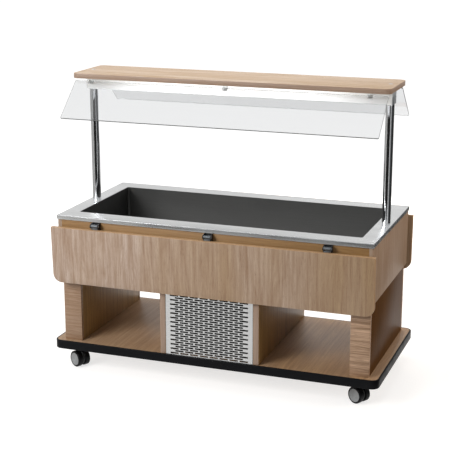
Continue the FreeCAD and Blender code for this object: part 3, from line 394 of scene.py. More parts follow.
@dataclass(frozen=True)
class Mottled(Finish):
    """Surface whose tone and gloss drift in clouds over a fine relief."""

    tone: str
    roughness: float
    texture: float = 1.2  # millimetres between the relief's grains
    strength: float = 0.2
    shine: float = 0.5  # how much it mirrors at its face
    metallic: float = 0.0
    splits: float = 2.0  # detail of the relief
    depth: float = 0.00006  # metres from the relief's top to its bottom
    clouds: Marks = Marks(45, 45, 2.0)
    shade: float = 0.16  # how much darker a cloud is
    drift: float = 0.05  # how much duller a cloud is

    def sockets(self, tree: Tree, place: Socket) -> Sockets:
        """Draw the relief and the clouds."""
        fine = Marks(self.texture, self.texture, self.splits).draw(tree, place)
        cloud = self.clouds.draw(tree, place)
        share = add_node(tree, "MapRange", {0: cloud, 1: 0.3, 2: 0.7, 3: 0.0, 4: self.shade})
        ground = add_node(tree, "Mix", {0: share, 6: colour(self.tone),
                                        7: colour("#000000")}, data_type="RGBA")
        rough = add_node(tree, "MapRange", {0: cloud, 1: 0.3, 2: 0.7,
                                            3: self.roughness - self.drift,
                                            4: self.roughness + self.drift})
        relief = add_node(tree, "Bump", {"Height": fine, "Strength": self.strength,
                                         "Distance": self.depth})
        return {"Base Color": ground, "Metallic": self.metallic, "Roughness": rough,
                "Normal": relief, "Specular IOR Level": self.shine}


@dataclass(frozen=True)
class Moulded(Mottled):
    """Plastic or rubber moulded in a spark-eroded tool.

    The tool leaves an even fine grain, and the flow of the melt a slight mottling.
    """


@dataclass(frozen=True)
class Coated(Mottled):
    """Metal under powder coat, epoxy or zinc plate, with a light orange peel."""

    texture: float = 2.5
    strength: float = 0.15
    splits: float = 1.0
    depth: float = 0.00008
    clouds: Marks = Marks(18, 18, 3.0)
    shade: float = 0.14
    drift: float = 0.06


@dataclass(frozen=True)
class FloatGlass(Finish):
    """Toughened float glass.

    Its faces are flat and clear, and a ground edge is dull and shows the body's grey.
    """

    tone: str = "#e2e3e4"
    roughness: float = 0.0
    smears: float = 0.02  # how much wiping dulls the face

    def sockets(self, tree: Tree, place: Socket) -> Sockets:
        """Draw the wiping marks in the roughness."""
        wiped = Marks(300, 70, 2.0).draw(tree, place)
        rough = add_node(tree, "MapRange", {0: wiped, 1: 0.55, 2: 0.8, 3: self.roughness,
                                            4: self.roughness + self.smears})
        return {"Base Color": colour(self.tone), "Roughness": rough, "IOR": 1.5,
                "Transmission Weight": 1.0}


@dataclass(frozen=True)
class OpalAcrylic(Finish):
    """Opal acrylic sheet lit by tubes: brightest along the middle, dim at its ends."""

    tone: str = "#f2f2f0"
    glow: float = 0.3
    reach: float = 0.70  # metres from the middle to where the glow ends

    def sockets(self, tree: Tree, place: Socket) -> Sockets:
        """Draw the glow of the tubes behind the sheet."""
        split = add_node(tree, "SeparateXYZ", {0: place})
        away = add_node(tree, "Math", {0: split.outputs[0]}, operation="ABSOLUTE")
        fade = add_node(tree, "MapRange", {
            0: away, 1: self.reach * 0.5, 2: self.reach, 3: 1.0, 4: 0.1},
            interpolation_type="SMOOTHSTEP")
        lit = add_node(tree, "Mix", {0: fade, 6: colour("#000000"),
                                     7: colour("#ffffff")}, data_type="RGBA")
        return {"Base Color": colour(self.tone), "Roughness": 0.35,
                "Emission Color": lit, "Emission Strength": self.glow}


@dataclass(frozen=True)
class RigidFoam(Finish):
    """Polyurethane foam poured in place: pale yellow with a cut, pitted face."""

    tone: str = "#d9cf9f"
    pit: str = "#b3a775"

    def sockets(self, tree: Tree, place: Socket) -> Sockets:
        """Draw the pits."""
        cells = Marks(3, 3, 3.0).draw(tree, place)
        share = add_node(tree, "MapRange", {0: cells, 1: 0.35, 2: 0.6})
        ground = add_node(tree, "Mix", {0: share, 6: colour(self.pit),
                                        7: colour(self.tone)}, data_type="RGBA")
        relief = add_node(tree, "Bump", {"Height": cells, "Strength": 0.5,
                                         "Distance": 0.0005})
        return {"Base Color": ground, "Roughness": 0.9, "Normal": relief}


@dataclass(frozen=True)
class LitDigits(Finish):
    """Light-emitting segments of a display, even and a little warm."""

    tone: str = "#ff5a3c"
    glow: float = 1.2

    def sockets(self, tree: Tree, place: Socket) -> Sockets:
        """Draw the slight unevenness of the segments."""
        spots = Marks(2, 2, 1.0).draw(tree, place)
        share = add_node(tree, "MapRange", {0: spots, 1: 0.3, 2: 0.7, 3: 0.0, 4: 0.2})
        lit = add_node(tree, "Mix", {0: share, 6: colour(self.tone),
                                     7: colour("#7a1c10")}, data_type="RGBA")
        return {"Base Color": colour("#2a0c08"), "Roughness": 0.3,
                "Emission Color": lit, "Emission Strength": self.glow}


# flaps: the pinkish-grey cool tone at the left end and the tan warm tone at the right are
# partly a painted sheen on the flaps' left ends, partly the decor's own drift
OAK_FLAP = OakLaminate("oak_decor_flap", Grain.UPRIGHT, 0.31, 0.62, "#b9a698", "#a58966",
                       figure=1.1)
OAK_SIDE = OakLaminate("oak_decor_side", Grain.UPRIGHT, 0.0, 0.0, "#ad998a", "#a08a72")
# columns' outer boards: the dark saturated brown is partly a darker, warmer board, partly
# painted shade and warm bounce on the bar's outer ends
OAK_OUTER_PAINTED_SHADE = OakLaminate("oak_decor_outer", Grain.UPRIGHT, 0.4, 0.0, "#66421c", "#583813",
                        "#3f280f", "#2e1d0d", shine=0.06)
# bays' walls and partitions: the darker, more saturated ochre is painted shade and warm bounce
# inside the bays
OAK_INNER_PAINTED_SHADE = OakLaminate("oak_decor_inner", Grain.UPRIGHT, 0.55, 0.0, "#ac8b5c", "#a07c48",
                        "#785a31", "#5a4126")
# column strips: the slope from a darker cool tone at the left to a lighter warm one at the
# right is painted shade on the left column's strips
OAK_COLUMN_SHADE_SLOPE = OakLaminate("oak_decor_column", Grain.LENGTH, 0.2, 0.7, "#9f856f", "#cdab8e",
                         figure=1.7)
# front and rear aprons: the darker ochre is painted shade under the rim's overhang
OAK_APRON_PAINTED_SHADE = OakLaminate("oak_decor_apron", Grain.LENGTH, 0.1, 0.3, "#aa875c", "#9e7948",
                        "#7d5a30")
OAK_CANOPY = OakLaminate("oak_decor_canopy", Grain.LENGTH, 0.14, 0.4, "#cdbcac", "#c6ad92",
                         "#a58662", figure=1.7)
OAK_FLOOR = OakLaminate("oak_decor_floor", Grain.DEPTH, 0.07, 0.4, "#a98f74", "#b38f68")
BAND_CANOPY = EdgeBand("oak_edging_canopy", Grain.LENGTH, "#9c8575", "#8b7058")
# flaps' edging: its orange-brown is partly the edging's own tone, partly painted shade as the
# flaps' end edges look in shade
BAND_FLAP = EdgeBand("oak_edging_flap", Grain.UPRIGHT, "#b3926f", "#99744d")
BAND_BOARD = EdgeBand("oak_edging_board", Grain.UPRIGHT, "#9c8574", "#8f7663")
STEEL = BrushedSteel("stainless_belt_ground", Grain.LENGTH, "#cccdcd")
# the frame's rounded folds: the darker blue-grey is a painted dark reflection along the fold
STEEL_FOLD_PAINTED_REFLECTION = BrushedSteel("stainless_folded_edge", Grain.LENGTH, "#7c8186", 0.5)
# punched panels: the slots' walls and edges carry painted shade
STEEL_PANEL_SLOT_SHADE = PunchedSteel("stainless_punched", Grain.UPRIGHT, "#bdbebe", 0.34)
# the tub: the dark grey tone is painted shade of the well's inside, where the steel mirrors
# its own dark walls
STEEL_TUB_PAINTED_SHADE = BrushedSteel("stainless_deep_drawn_dark", Grain.LENGTH, "#5f5f5e", 0.48, 0.08)
STEEL_LAMP = BrushedSteel("stainless_folded_satin", Grain.LENGTH, "#c2c4c6", 0.38)
CHROME = Chrome("chrome_plate_polished")
EDGING = Moulded("soft_pvc_extruded_black", "#090a0d", 0.42, 2.0, 0.08, 0.09)
NYLON_BLACK = Moulded("nylon_moulded_black", "#101113", 0.42, shine=0.25)
NYLON_GREY = Moulded("polypropylene_moulded_grey", "#8e9091", 0.4)
CLEAR_CLIP = FloatGlass("polycarbonate_moulded_frosted", "#eceeee", 0.55, 0.05)
TREAD = Moulded("polyurethane_cast_black", "#08080a", 0.4, 2.5, 0.06, 0.12)
DISPLAY = Moulded("acrylic_window_smoked", "#0b0c0d", 0.12, 4.0, 0.02)
MARKING = Moulded("ink_pad_printed_white", "#dfe0e0", 0.5, 2.0, 0.05)
POWDER_BLACK = Coated("steel_powder_coated_black", "#15171a", 0.42)
ZINC = Coated("steel_zinc_plated", "#98a0a8", 0.34, metallic=1.0)
ZINC_DARK = Coated("steel_zinc_plated_black_passivated", "#5d6164", 0.5, metallic=1.0)
FINS = Coated("aluminium_fins_epoxy_black", "#1d1f20", 0.5)
GLASS = FloatGlass("float_glass_toughened")
GLASS_EDGE = FloatGlass("float_glass_ground_edge", "#b4bcba", 0.45, 0.05)
OPAL = OpalAcrylic("acrylic_opal_lit", "#dcdcda", 0.9)
FOAM = RigidFoam("polyurethane_foam_poured")
DIGITS = LitDigits("display_segments_lit")


# -------------------------------------------------------------------- mesh tools
def deselect() -> None:
    """Leave nothing selected and nothing active."""
    bpy.ops.object.select_all(action="DESELECT")
    bpy.context.view_layer.objects.active = None


def make_active(piece: Piece) -> None:
    """Select one piece alone and make it the active one."""
    deselect()
    piece.select_set(True)
    bpy.context.view_layer.objects.active = piece


@contextmanager
def editing(piece: Piece) -> Iterator[None]:
    """Hold a piece in edit mode with nothing selected."""
    make_active(piece)
    bpy.ops.object.mode_set(mode="EDIT")
    bpy.ops.mesh.select_all(action="DESELECT")
    try:
        yield
    finally:
        bpy.ops.object.mode_set(mode="OBJECT")


def pick(piece: Piece, kind: str, test: Test) -> int:
    """Select the elements of a piece in edit mode that pass a test.

    Args:
        piece: the piece being edited.
        kind: verts, edges or faces.
        test: tells whether an element is wanted.

    Returns:
        How many were selected.
    """
    bpy.ops.mesh.select_mode(type=kind[:-1].upper())
    bpy.ops.mesh.select_all(action="DESELECT")
    mesh = bmesh.from_edit_mesh(piece.data)
    found = [e for e in getattr(mesh, kind) if test(e)]
    for element in found:
        element.select_set(True)
    mesh.select_flush_mode()
    bmesh.update_edit_mesh(piece.data)
    return len(found)


def at(axis: int, *levels: float) -> Test:
    """Return a test for elements whose points share a level on an axis.

    Args:
        axis: the axis, from 0.
        levels: the levels, any of which will do.

    Returns:
        The test.
    """

    def test(element: Any) -> bool:
        """Tell whether every point of the element lies on one of the levels."""
        points = [element] if isinstance(element, bmesh.types.BMVert) else element.verts
        return any(all(abs(p.co[axis] - v) < NEAR for p in points) for v in levels)

    return test


def runs(axis: int) -> Test:
    """Return a test for edges that run along one axis.

    Args:
        axis: the axis, from 0.

    Returns:
        The test.
    """

    def test(edge: bmesh.types.BMEdge) -> bool:
        """Tell whether the edge runs that way."""
        span = edge.verts[1].co - edge.verts[0].co
        return abs(abs(span[axis]) - span.length) < NEAR

    return test


def faces(axis: int) -> Test:
    """Return a test for faces that look along one axis, either way."""
    return lambda face: abs(face.normal[axis]) > LEVEL


def sharp(edge: bmesh.types.BMEdge) -> bool:
    """Tell whether an edge is a real corner of the shape."""
    return len(edge.link_faces) == 2 and edge.calc_face_angle(0.0) > math.radians(35)


def settle(piece: Piece, move: Matrix | None = None) -> None:
    """Put a piece's turn, scale and place into its mesh.

    Args:
        piece: the piece.
        move: where it goes first.
    """
    if move is not None:
        piece.matrix_world = move
    make_active(piece)
    bpy.ops.object.transform_apply(location=True, rotation=True, scale=True)


def block(name: str, low: Point, high: Point) -> Piece:
    """Start a piece from a cube between two corners.

    Args:
        name: the piece's name.
        low: lowest corner.
        high: highest corner.

    Returns:
        The piece.
    """
    deselect()
    low, high = Vector(low), Vector(high)
    bpy.ops.mesh.primitive_cube_add(size=1, location=(low + high) / 2, scale=high - low)
    piece = bpy.context.object
    piece.name = name
    settle(piece)
    return piece


def disc(name: str, radius: float, low: float, high: float, steps: int = 48
         ) -> Piece:
    """Start a round piece from a cylinder about +Z.

    Args:
        name: the piece's name.
        radius: its radius.
        low: where it starts along Z.
        high: where it ends along Z.
        steps: facets round it.

    Returns:
        The piece.
    """
    deselect()
    bpy.ops.mesh.primitive_cylinder_add(vertices=steps, radius=radius, depth=high - low,
                                        location=(0, 0, (low + high) / 2))
    piece = bpy.context.object
    piece.name = name
    settle(piece)
    return piece


def ease(piece: Piece, radius: float, test: Test = sharp, steps: int = 2) -> None:
    """Round the edges of a piece that pass a test.

    Args:
        piece: the piece.
        radius: radius of the rounding.
        test: tells whether an edge is wanted.
        steps: facets in the rounding.
    """
    with editing(piece):
        if pick(piece, "edges", test):
            bpy.ops.mesh.bevel(offset=radius, segments=steps, affect="EDGES")


def slab(name: str, low: Point, high: Point, corner: float, steps: int = 8
         ) -> Piece:
    """Start a piece from a flat plate whose upright corners are round.

    Args:
        name: the piece's name.
        low: lowest corner.
        high: highest corner.
        corner: radius of the upright corners.
        steps: facets in each corner.

    Returns:
        The piece.
    """
    piece = block(name, low, high)
    ease(piece, corner, runs(2), steps)
    return piece


def open_through(piece: Piece, axis: int, wall: float) -> None:
    """Open a piece right through along one axis.

    Args:
        piece: the piece.
        axis: the axis, from 0.
        wall: how much is left round the opening.
    """
    with editing(piece):
        pick(piece, "faces", faces(axis))
        bpy.ops.mesh.inset(thickness=wall, depth=0)
        bpy.ops.mesh.bridge_edge_loops()


def apply_modifier(piece: Piece, kind: str, **settings: Any) -> None:
    """Add a modifier and apply it at once.

    Args:
        piece: the piece.
        kind: the modifier's type.
        settings: its properties.
    """
    make_active(piece)
    modifier = piece.modifiers.new(kind.title(), kind)
    for name, value in settings.items():
        setattr(modifier, name, value)
    bpy.ops.object.modifier_apply(modifier=modifier.name)


def cut(piece: Piece, cutter: Piece) -> None:
    """Cut one piece's shape out of another, and throw the cutter away."""
    apply_modifier(piece, "BOOLEAN", object=cutter, operation="DIFFERENCE", solver="EXACT")
    bpy.data.objects.remove(cutter)


def copy_piece(piece: Piece, name: str, move: Matrix) -> Piece:
    """Copy a piece with its own mesh to another place.

    Args:
        piece: the piece to copy.
        name: the copy's name.
        move: how its points move.

    Returns:
        The copy.
    """
    make_active(piece)
    bpy.ops.object.duplicate()
    copy = bpy.context.object
    copy.name = name
    settle(copy, move)
    return copy


def join(name: str, pieces: Sequence[Piece]) -> Piece:
    """Join pieces that are made as one.

    Args:
        name: the joined piece's name.
        pieces: what to join.

    Returns:
        The joined piece.
    """
    make_active(pieces[0])
    for piece in pieces:
        piece.select_set(True)
    bpy.ops.object.join()
    joined = bpy.context.object
    joined.name = name
    return joined


def spread(model: Piece, name: str, moves: Sequence[Matrix]) -> Piece:
    """Copy a model to several places, join the copies and throw the model away.

    Args:
        model: the piece to copy.
        name: the joined copies' name.
        moves: how the model moves to each place.

    Returns:
        The joined copies.
    """
    copies = [copy_piece(model, f"{name}_{i}", move) for i, move in enumerate(moves)]
    bpy.data.objects.remove(model)
    return join(name, copies)


def facing(place: Point, direction: Point) -> Matrix:
    """Return the move that puts a +Z model at a place with its top towards a direction."""
    turn = Vector(direction).to_track_quat("Z", "Y").to_matrix().to_4x4()
    return Matrix.Translation(place) @ turn


def paint(piece: Piece, finish: Finish, test: Test) -> None:
    """Give the faces that pass a test a second finish.

    Args:
        piece: the piece, which has its main finish already.
        finish: the other finish.
        test: tells whether a face of the mesh is wanted.
    """
    piece.data.materials.append(finish.material())
    index = len(piece.data.materials) - 1
    for face in piece.data.polygons:
        if test(face):
            face.material_index = index


def complete(piece: Piece, finish: Finish, body: str = "root",
             replaces: Iterable[str] = (), angle: float = 30.0) -> Piece:
    """Dress a finished piece and hand it to the frame.

    Args:
        piece: the piece.
        finish: its main finish.
        body: the body that it rides on.
        replaces: the frame's nodes that it stands for.
        angle: edges flatter than this many degrees are shaded smooth.

    Returns:
        The piece.
    """
    make_active(piece)
    bpy.ops.object.shade_smooth_by_angle(angle=math.radians(angle))
    piece.data.materials.clear()
    piece.data.materials.append(finish.material())
    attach(piece, body)
    nodes = list(replaces)
    if nodes:
        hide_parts(*nodes)
    LOG.info("%s rides on %s", piece.name, body)
    return piece


def dress_nodes(finish: Finish, *nodes: str) -> None:
    """Give nodes of the frame that keep their shape a better finish.

    Args:
        finish: the finish.
        nodes: the nodes' names.
    """
    for node in nodes:
        for slot in bpy.data.objects[node].material_slots:
            slot.material = finish.material()
        LOG.info("%s keeps its shape in %s", node, finish.name)


def panel(node: str, finish: Finish, easing: float = 0.0008) -> Piece:
    """Model a laminated board in the place of a node, its edges eased.

    Args:
        node: the node that it stands for.
        finish: its finish.
        easing: radius of its edges.

    Returns:
        The board.
    """
    piece = block(f"{node}_panel", *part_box(node))
    ease(piece, easing)
    return complete(piece, finish, replaces=[node])


@dataclass(frozen=True)
class Screw:
    """Button-head screw with a round recess in its crown."""

    radius: float = 0.0035
    height: float = 0.0016
    crown: float = 0.001
    recess: float = 0.0012
    steps: int = 16

    def fit(self, name: str, spots: Sequence[tuple[Point, Point]], finish: Finish,
            body: str = "root") -> Piece:
        """Fit a head at each spot.

        Args:
            name: name of the joined heads.
            spots: the place under each head and the way that it faces.
            finish: the heads' finish.
            body: the body that they ride on.

        Returns:
            The joined heads.
        """
        head = disc("screw_head", self.radius, 0, self.height, self.steps)
        ease(head, self.crown, at(2, self.height), 3)
        with editing(head):
            pick(head, "faces", at(2, self.height))
            bpy.ops.mesh.inset(thickness=self.radius - self.crown - self.recess, depth=0)
            bpy.ops.mesh.extrude_region_move(
                TRANSFORM_OT_translate={"value": (0, 0, -self.height / 2)})
        piece = spread(head, name, [facing(place, way) for place, way in spots])
        return complete(piece, finish, body)


# ---------------------------------------------------------------- sub-assemblies
@dataclass
class Base:
    """Base board and the soft edging that guards its rim."""

    corner: float = 0.035
    easing: float = 0.0008
    nose: float = 0.0028

    def build(self) -> None:
        """Make the board and its edging."""
        low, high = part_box("base_board")
        rim_low, rim_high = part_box("base_bumper")
        edging = rim_high.x - high.x
        board = slab("base_panel", low, high, self.corner - edging)
        ease(board, self.easing, at(2, low.z, high.z))
        complete(board, OAK_FLOOR, replaces=["base_board"])

        ring = slab("base_edging", rim_low, rim_high, self.corner)
        ease(ring, self.nose, at(2, low.z, high.z), 4)
        open_through(ring, 2, edging - self.nose)
        complete(ring, EDGING, replaces=["base_bumper"])


@dataclass
class Body:
    """Columns, partitions and the upper body's boards."""

    easing: float = 0.0008

    def build(self) -> None:
        """Make every board of the body."""
        for hand in Hand:
            name = hand.label
            panel(f"column_{name}_outer", OAK_OUTER_PAINTED_SHADE)
            panel(f"column_{name}_inner", OAK_INNER_PAINTED_SHADE)
            partition = panel(f"partition_{name}", OAK_INNER_PAINTED_SHADE)
            paint(partition, BAND_BOARD, faces(1))
            panel(f"apron_{name}", OAK_SIDE)
        for side in Side:
            panel(f"apron_{side.label}", OAK_APRON_PAINTED_SHADE)
        self.make_strips()
        dress_nodes(OAK_FLOOR, "well_deck")

    def make_strips(self) -> None:
        """Make the full-width strips that close the columns' front and rear."""
        low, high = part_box("column_edges")
        strips = []
        for hand in Hand:
            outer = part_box(f"column_{hand.label}_outer")
            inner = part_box(f"column_{hand.label}_inner")
            x_low, x_high = min(outer[0].x, inner[0].x), max(outer[1].x, inner[1].x)
            for y_low, y_high in ((low.y, outer[0].y), (outer[1].y, high.y)):
                strip = block("strip", (x_low, y_low, low.z), (x_high, y_high, high.z))
                ease(strip, self.easing)
                strips.append(strip)
        piece = join("column_strips", strips)
        complete(piece, OAK_COLUMN_SHADE_SLOPE, replaces=["column_edges"])


@dataclass
class Well:
    """Stainless frame, tub and drain."""

    frame_round: float = 0.0016
    mouth_corner: float = 0.01
    tub_corner: float = 0.0115
    cove: float = 0.009
    sheet: float = 0.0015
    strainer_radius: float = 0.023
    strainer_rise: float = 0.0022
    hole: float = 0.0014
    hole_rings: int = 3
    hole_pitch: float = 0.0052
    strainer_land: float = 0.003
    strainer_step: float = 0.002
    fold_slopes: Point = (0.3, 0.95)  # how far up the faces of a fold look that take the painted dark reflection

    def build(self) -> None:
        """Make the frame, the tub and its strainer, and dress what lies under them."""
        self.make_frame()
        self.make_tub()
        self.make_strainer()
        dress_nodes(FOAM, "well_foam")
        dress_nodes(NYLON_GREY, "drain_spout")

    def make_frame(self) -> None:
        """Make the frame of folded sheet round the well's mouth."""
        low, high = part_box("top_frame")
        tub_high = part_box("well_tub")[1]
        mouth_x, mouth_y = tub_high.x - self.sheet, tub_high.y - self.sheet
        piece = block("top_frame_sheet", low, high)
        with editing(piece):
            pick(piece, "faces", at(2, low.z))
            bpy.ops.mesh.delete(type="FACE")
            for normal, reach in (((1, 0, 0), mouth_x), ((0, 1, 0), mouth_y)):
                for way in (1, -1):
                    bpy.ops.mesh.select_all(action="SELECT")
                    bpy.ops.mesh.bisect(plane_co=Vector(normal) * reach * way,
                                        plane_no=normal)
            pick(piece, "faces", lambda f: f.normal.z > LEVEL
                 and abs(f.calc_center_median().x) < mouth_x
                 and abs(f.calc_center_median().y) < mouth_y)
            bpy.ops.mesh.delete(type="FACE")
            pick(piece, "verts", lambda v: abs(abs(v.co.x) - mouth_x) < NEAR
                 and abs(abs(v.co.y) - mouth_y) < NEAR and at(2, high.z)(v))
            bpy.ops.mesh.bevel(offset=self.mouth_corner, segments=6, affect="VERTICES")
            pick(piece, "edges", sharp)
            bpy.ops.mesh.bevel(offset=self.frame_round, segments=4, affect="EDGES")
        apply_modifier(piece, "SOLIDIFY", thickness=self.sheet, offset=-1.0)
        complete(piece, STEEL, replaces=["top_frame"])
        least, most = self.fold_slopes
        # the fold's sloped faces take the painted dark reflection
        paint(piece, STEEL_FOLD_PAINTED_REFLECTION, lambda f: least < abs(f.normal.z) < most)

    def make_tub(self) -> None:
        """Make the deep-drawn tub with its coved floor and the hole of the drain."""
        low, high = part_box("well_tub")
        spout_low, spout_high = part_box("drain_spout")
        piece = slab("well_tub_shell", low, high, self.tub_corner, 6)
        ease(piece, self.cove, at(2, low.z), 4)
        with editing(piece):
            pick(piece, "faces", at(2, high.z))
            bpy.ops.mesh.delete(type="FACE")
        apply_modifier(piece, "SOLIDIFY", thickness=self.sheet, offset=-1.0)
        middle = (spout_low + spout_high) / 2
        radius = (spout_high.x - spout_low.x) / 2 - self.cove
        cutter = disc("outlet", radius, low.z - self.sheet, low.z + 2 * self.sheet)
        settle(cutter, Matrix.Translation((middle.x, middle.y, 0)))
        cut(piece, cutter)
        complete(piece, STEEL_TUB_PAINTED_SHADE, replaces=["well_tub"])

    def make_strainer(self) -> None:
        """Make the dished strainer that lies in the drain's flange."""
        spout_low, spout_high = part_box("drain_spout")
        middle = (spout_low + spout_high) / 2
        piece = disc("strainer", self.strainer_radius, 0, self.strainer_rise, 40)
        with editing(piece):
            pick(piece, "faces", at(2, self.strainer_rise))
            bpy.ops.mesh.inset(thickness=self.strainer_land, depth=0)
            bpy.ops.mesh.inset(thickness=self.strainer_step, depth=-self.strainer_rise / 2)
        ease(piece, self.strainer_rise / 4)
        drill = disc("drill", self.hole, -self.strainer_rise, 2 * self.strainer_rise, 10)
        moves = [Matrix()]
        for ring in range(1, self.hole_rings + 1):
            for i in range(6 * ring):
                turn = Matrix.Rotation(math.tau * i / (6 * ring), 4, "Z")
                moves.append(turn @ Matrix.Translation((ring * self.hole_pitch, 0, 0)))
        cut(piece, spread(drill, "drills", moves))
        settle(piece, Matrix.Translation((middle.x, middle.y, spout_high.z)))
        complete(piece, STEEL_LAMP)


@dataclass
class Gantry:
    """Posts, light box, canopy board, panes and their clips."""

    post_wall: float = 0.0015
    lamp_sheet: float = 0.002
    canopy_corner: float = 0.028
    easing: float = 0.0014
    cap_radius: float = 0.0095
    cap_rise: float = 0.0007
    pane_tilt: float = 42.0  # degrees below level
    pane_thick: float = 0.006
    pane_width: float = 0.22
    pane_corner: float = 0.006
    arris: float = 0.0008
    screw_inset: float = 0.014

    def build(self) -> None:
        """Make everything above the well."""
        for hand in Hand:
            self.make_post(hand)
        self.make_light_box()
        self.make_canopy()
        for side in Side:
            self.make_pane(side)
        dress_nodes(OPAL, "lamp_diffusers", "lamp_tubes")
        dress_nodes(CLEAR_CLIP, "glass_clips")

    def make_post(self, hand: Hand) -> None:
        """Make one chromed tube.

        Args:
            hand: the end that it stands at.
        """
        name = f"post_{hand.label}"
        low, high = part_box(name)
        piece = disc(f"{name}_tube", (high.x - low.x) / 2, low.z, high.z, 96)
        open_through(piece, 2, self.post_wall)
        middle = (low + high) / 2
        settle(piece, Matrix.Translation((middle.x, middle.y, 0)))
        complete(piece, CHROME, replaces=[name])

    def make_light_box(self) -> None:
        """Make the folded housing, open on both sides, and the screws in its ends."""
        low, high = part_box("lamp_housing")
        piece = block("lamp_housing_sheet", low, high)
        open_through(piece, 1, self.lamp_sheet)
        ease(piece, self.lamp_sheet / 3)
        complete(piece, STEEL_LAMP, replaces=["lamp_housing"])
        spots = [((x, y, (low.z + high.z) / 2), (way, 0, 0))
                 for x, way in ((low.x, -1), (high.x, 1))
                 for y in (low.y + self.screw_inset, high.y - self.screw_inset)]
        Screw().fit("lamp_end_screws", spots, ZINC)

    def make_canopy(self) -> None:
        """Make the canopy board, its band and the caps over the posts' screws."""
        low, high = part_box("canopy_board")
        top = high.z - self.cap_rise
        piece = slab("canopy_panel", low, (high.x, high.y, top), self.canopy_corner)
        ease(piece, self.easing, at(2, low.z, top), 3)
        complete(piece, OAK_CANOPY, replaces=["canopy_board"])
        paint(piece, BAND_CANOPY, lambda f: abs(f.normal.z) < 0.5)

        cap = disc("cap", self.cap_radius, top - self.cap_rise, high.z, 40)
        ease(cap, self.cap_rise * 0.8, at(2, high.z), 3)
        posts = [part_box(f"post_{hand.label}") for hand in Hand]
        moves = [Matrix.Translation(((a.x + b.x) / 2, 0, 0)) for a, b in posts]
        caps = spread(cap, "post_screw_caps", moves)
        complete(caps, STEEL_LAMP)

    def make_pane(self, side: Side) -> None:
        """Make one sloped pane with ground edges.

        Args:
            side: the serving side that it covers.
        """
        node = f"glass_{side.label}"
        low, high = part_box(node)
        half = self.pane_width / 2
        piece = slab(f"{node}_pane", (low.x, -half, -self.pane_thick / 2),
                     (high.x, half, self.pane_thick / 2), self.pane_corner, 5)
        ease(piece, self.arris, at(2, -self.pane_thick / 2, self.pane_thick / 2), 1)
        tilt = Matrix.Rotation(math.radians(self.pane_tilt) * -side.value, 4, "X")
        settle(piece, Matrix.Translation((low + high) / 2) @ tilt)
        across = tilt.to_3x3() @ Vector((0, 0, 1))
        complete(piece, GLASS, replaces=[node])
        paint(piece, GLASS_EDGE, lambda f: abs(f.normal.dot(across)) < 0.9)
        piece.visible_shadow = False


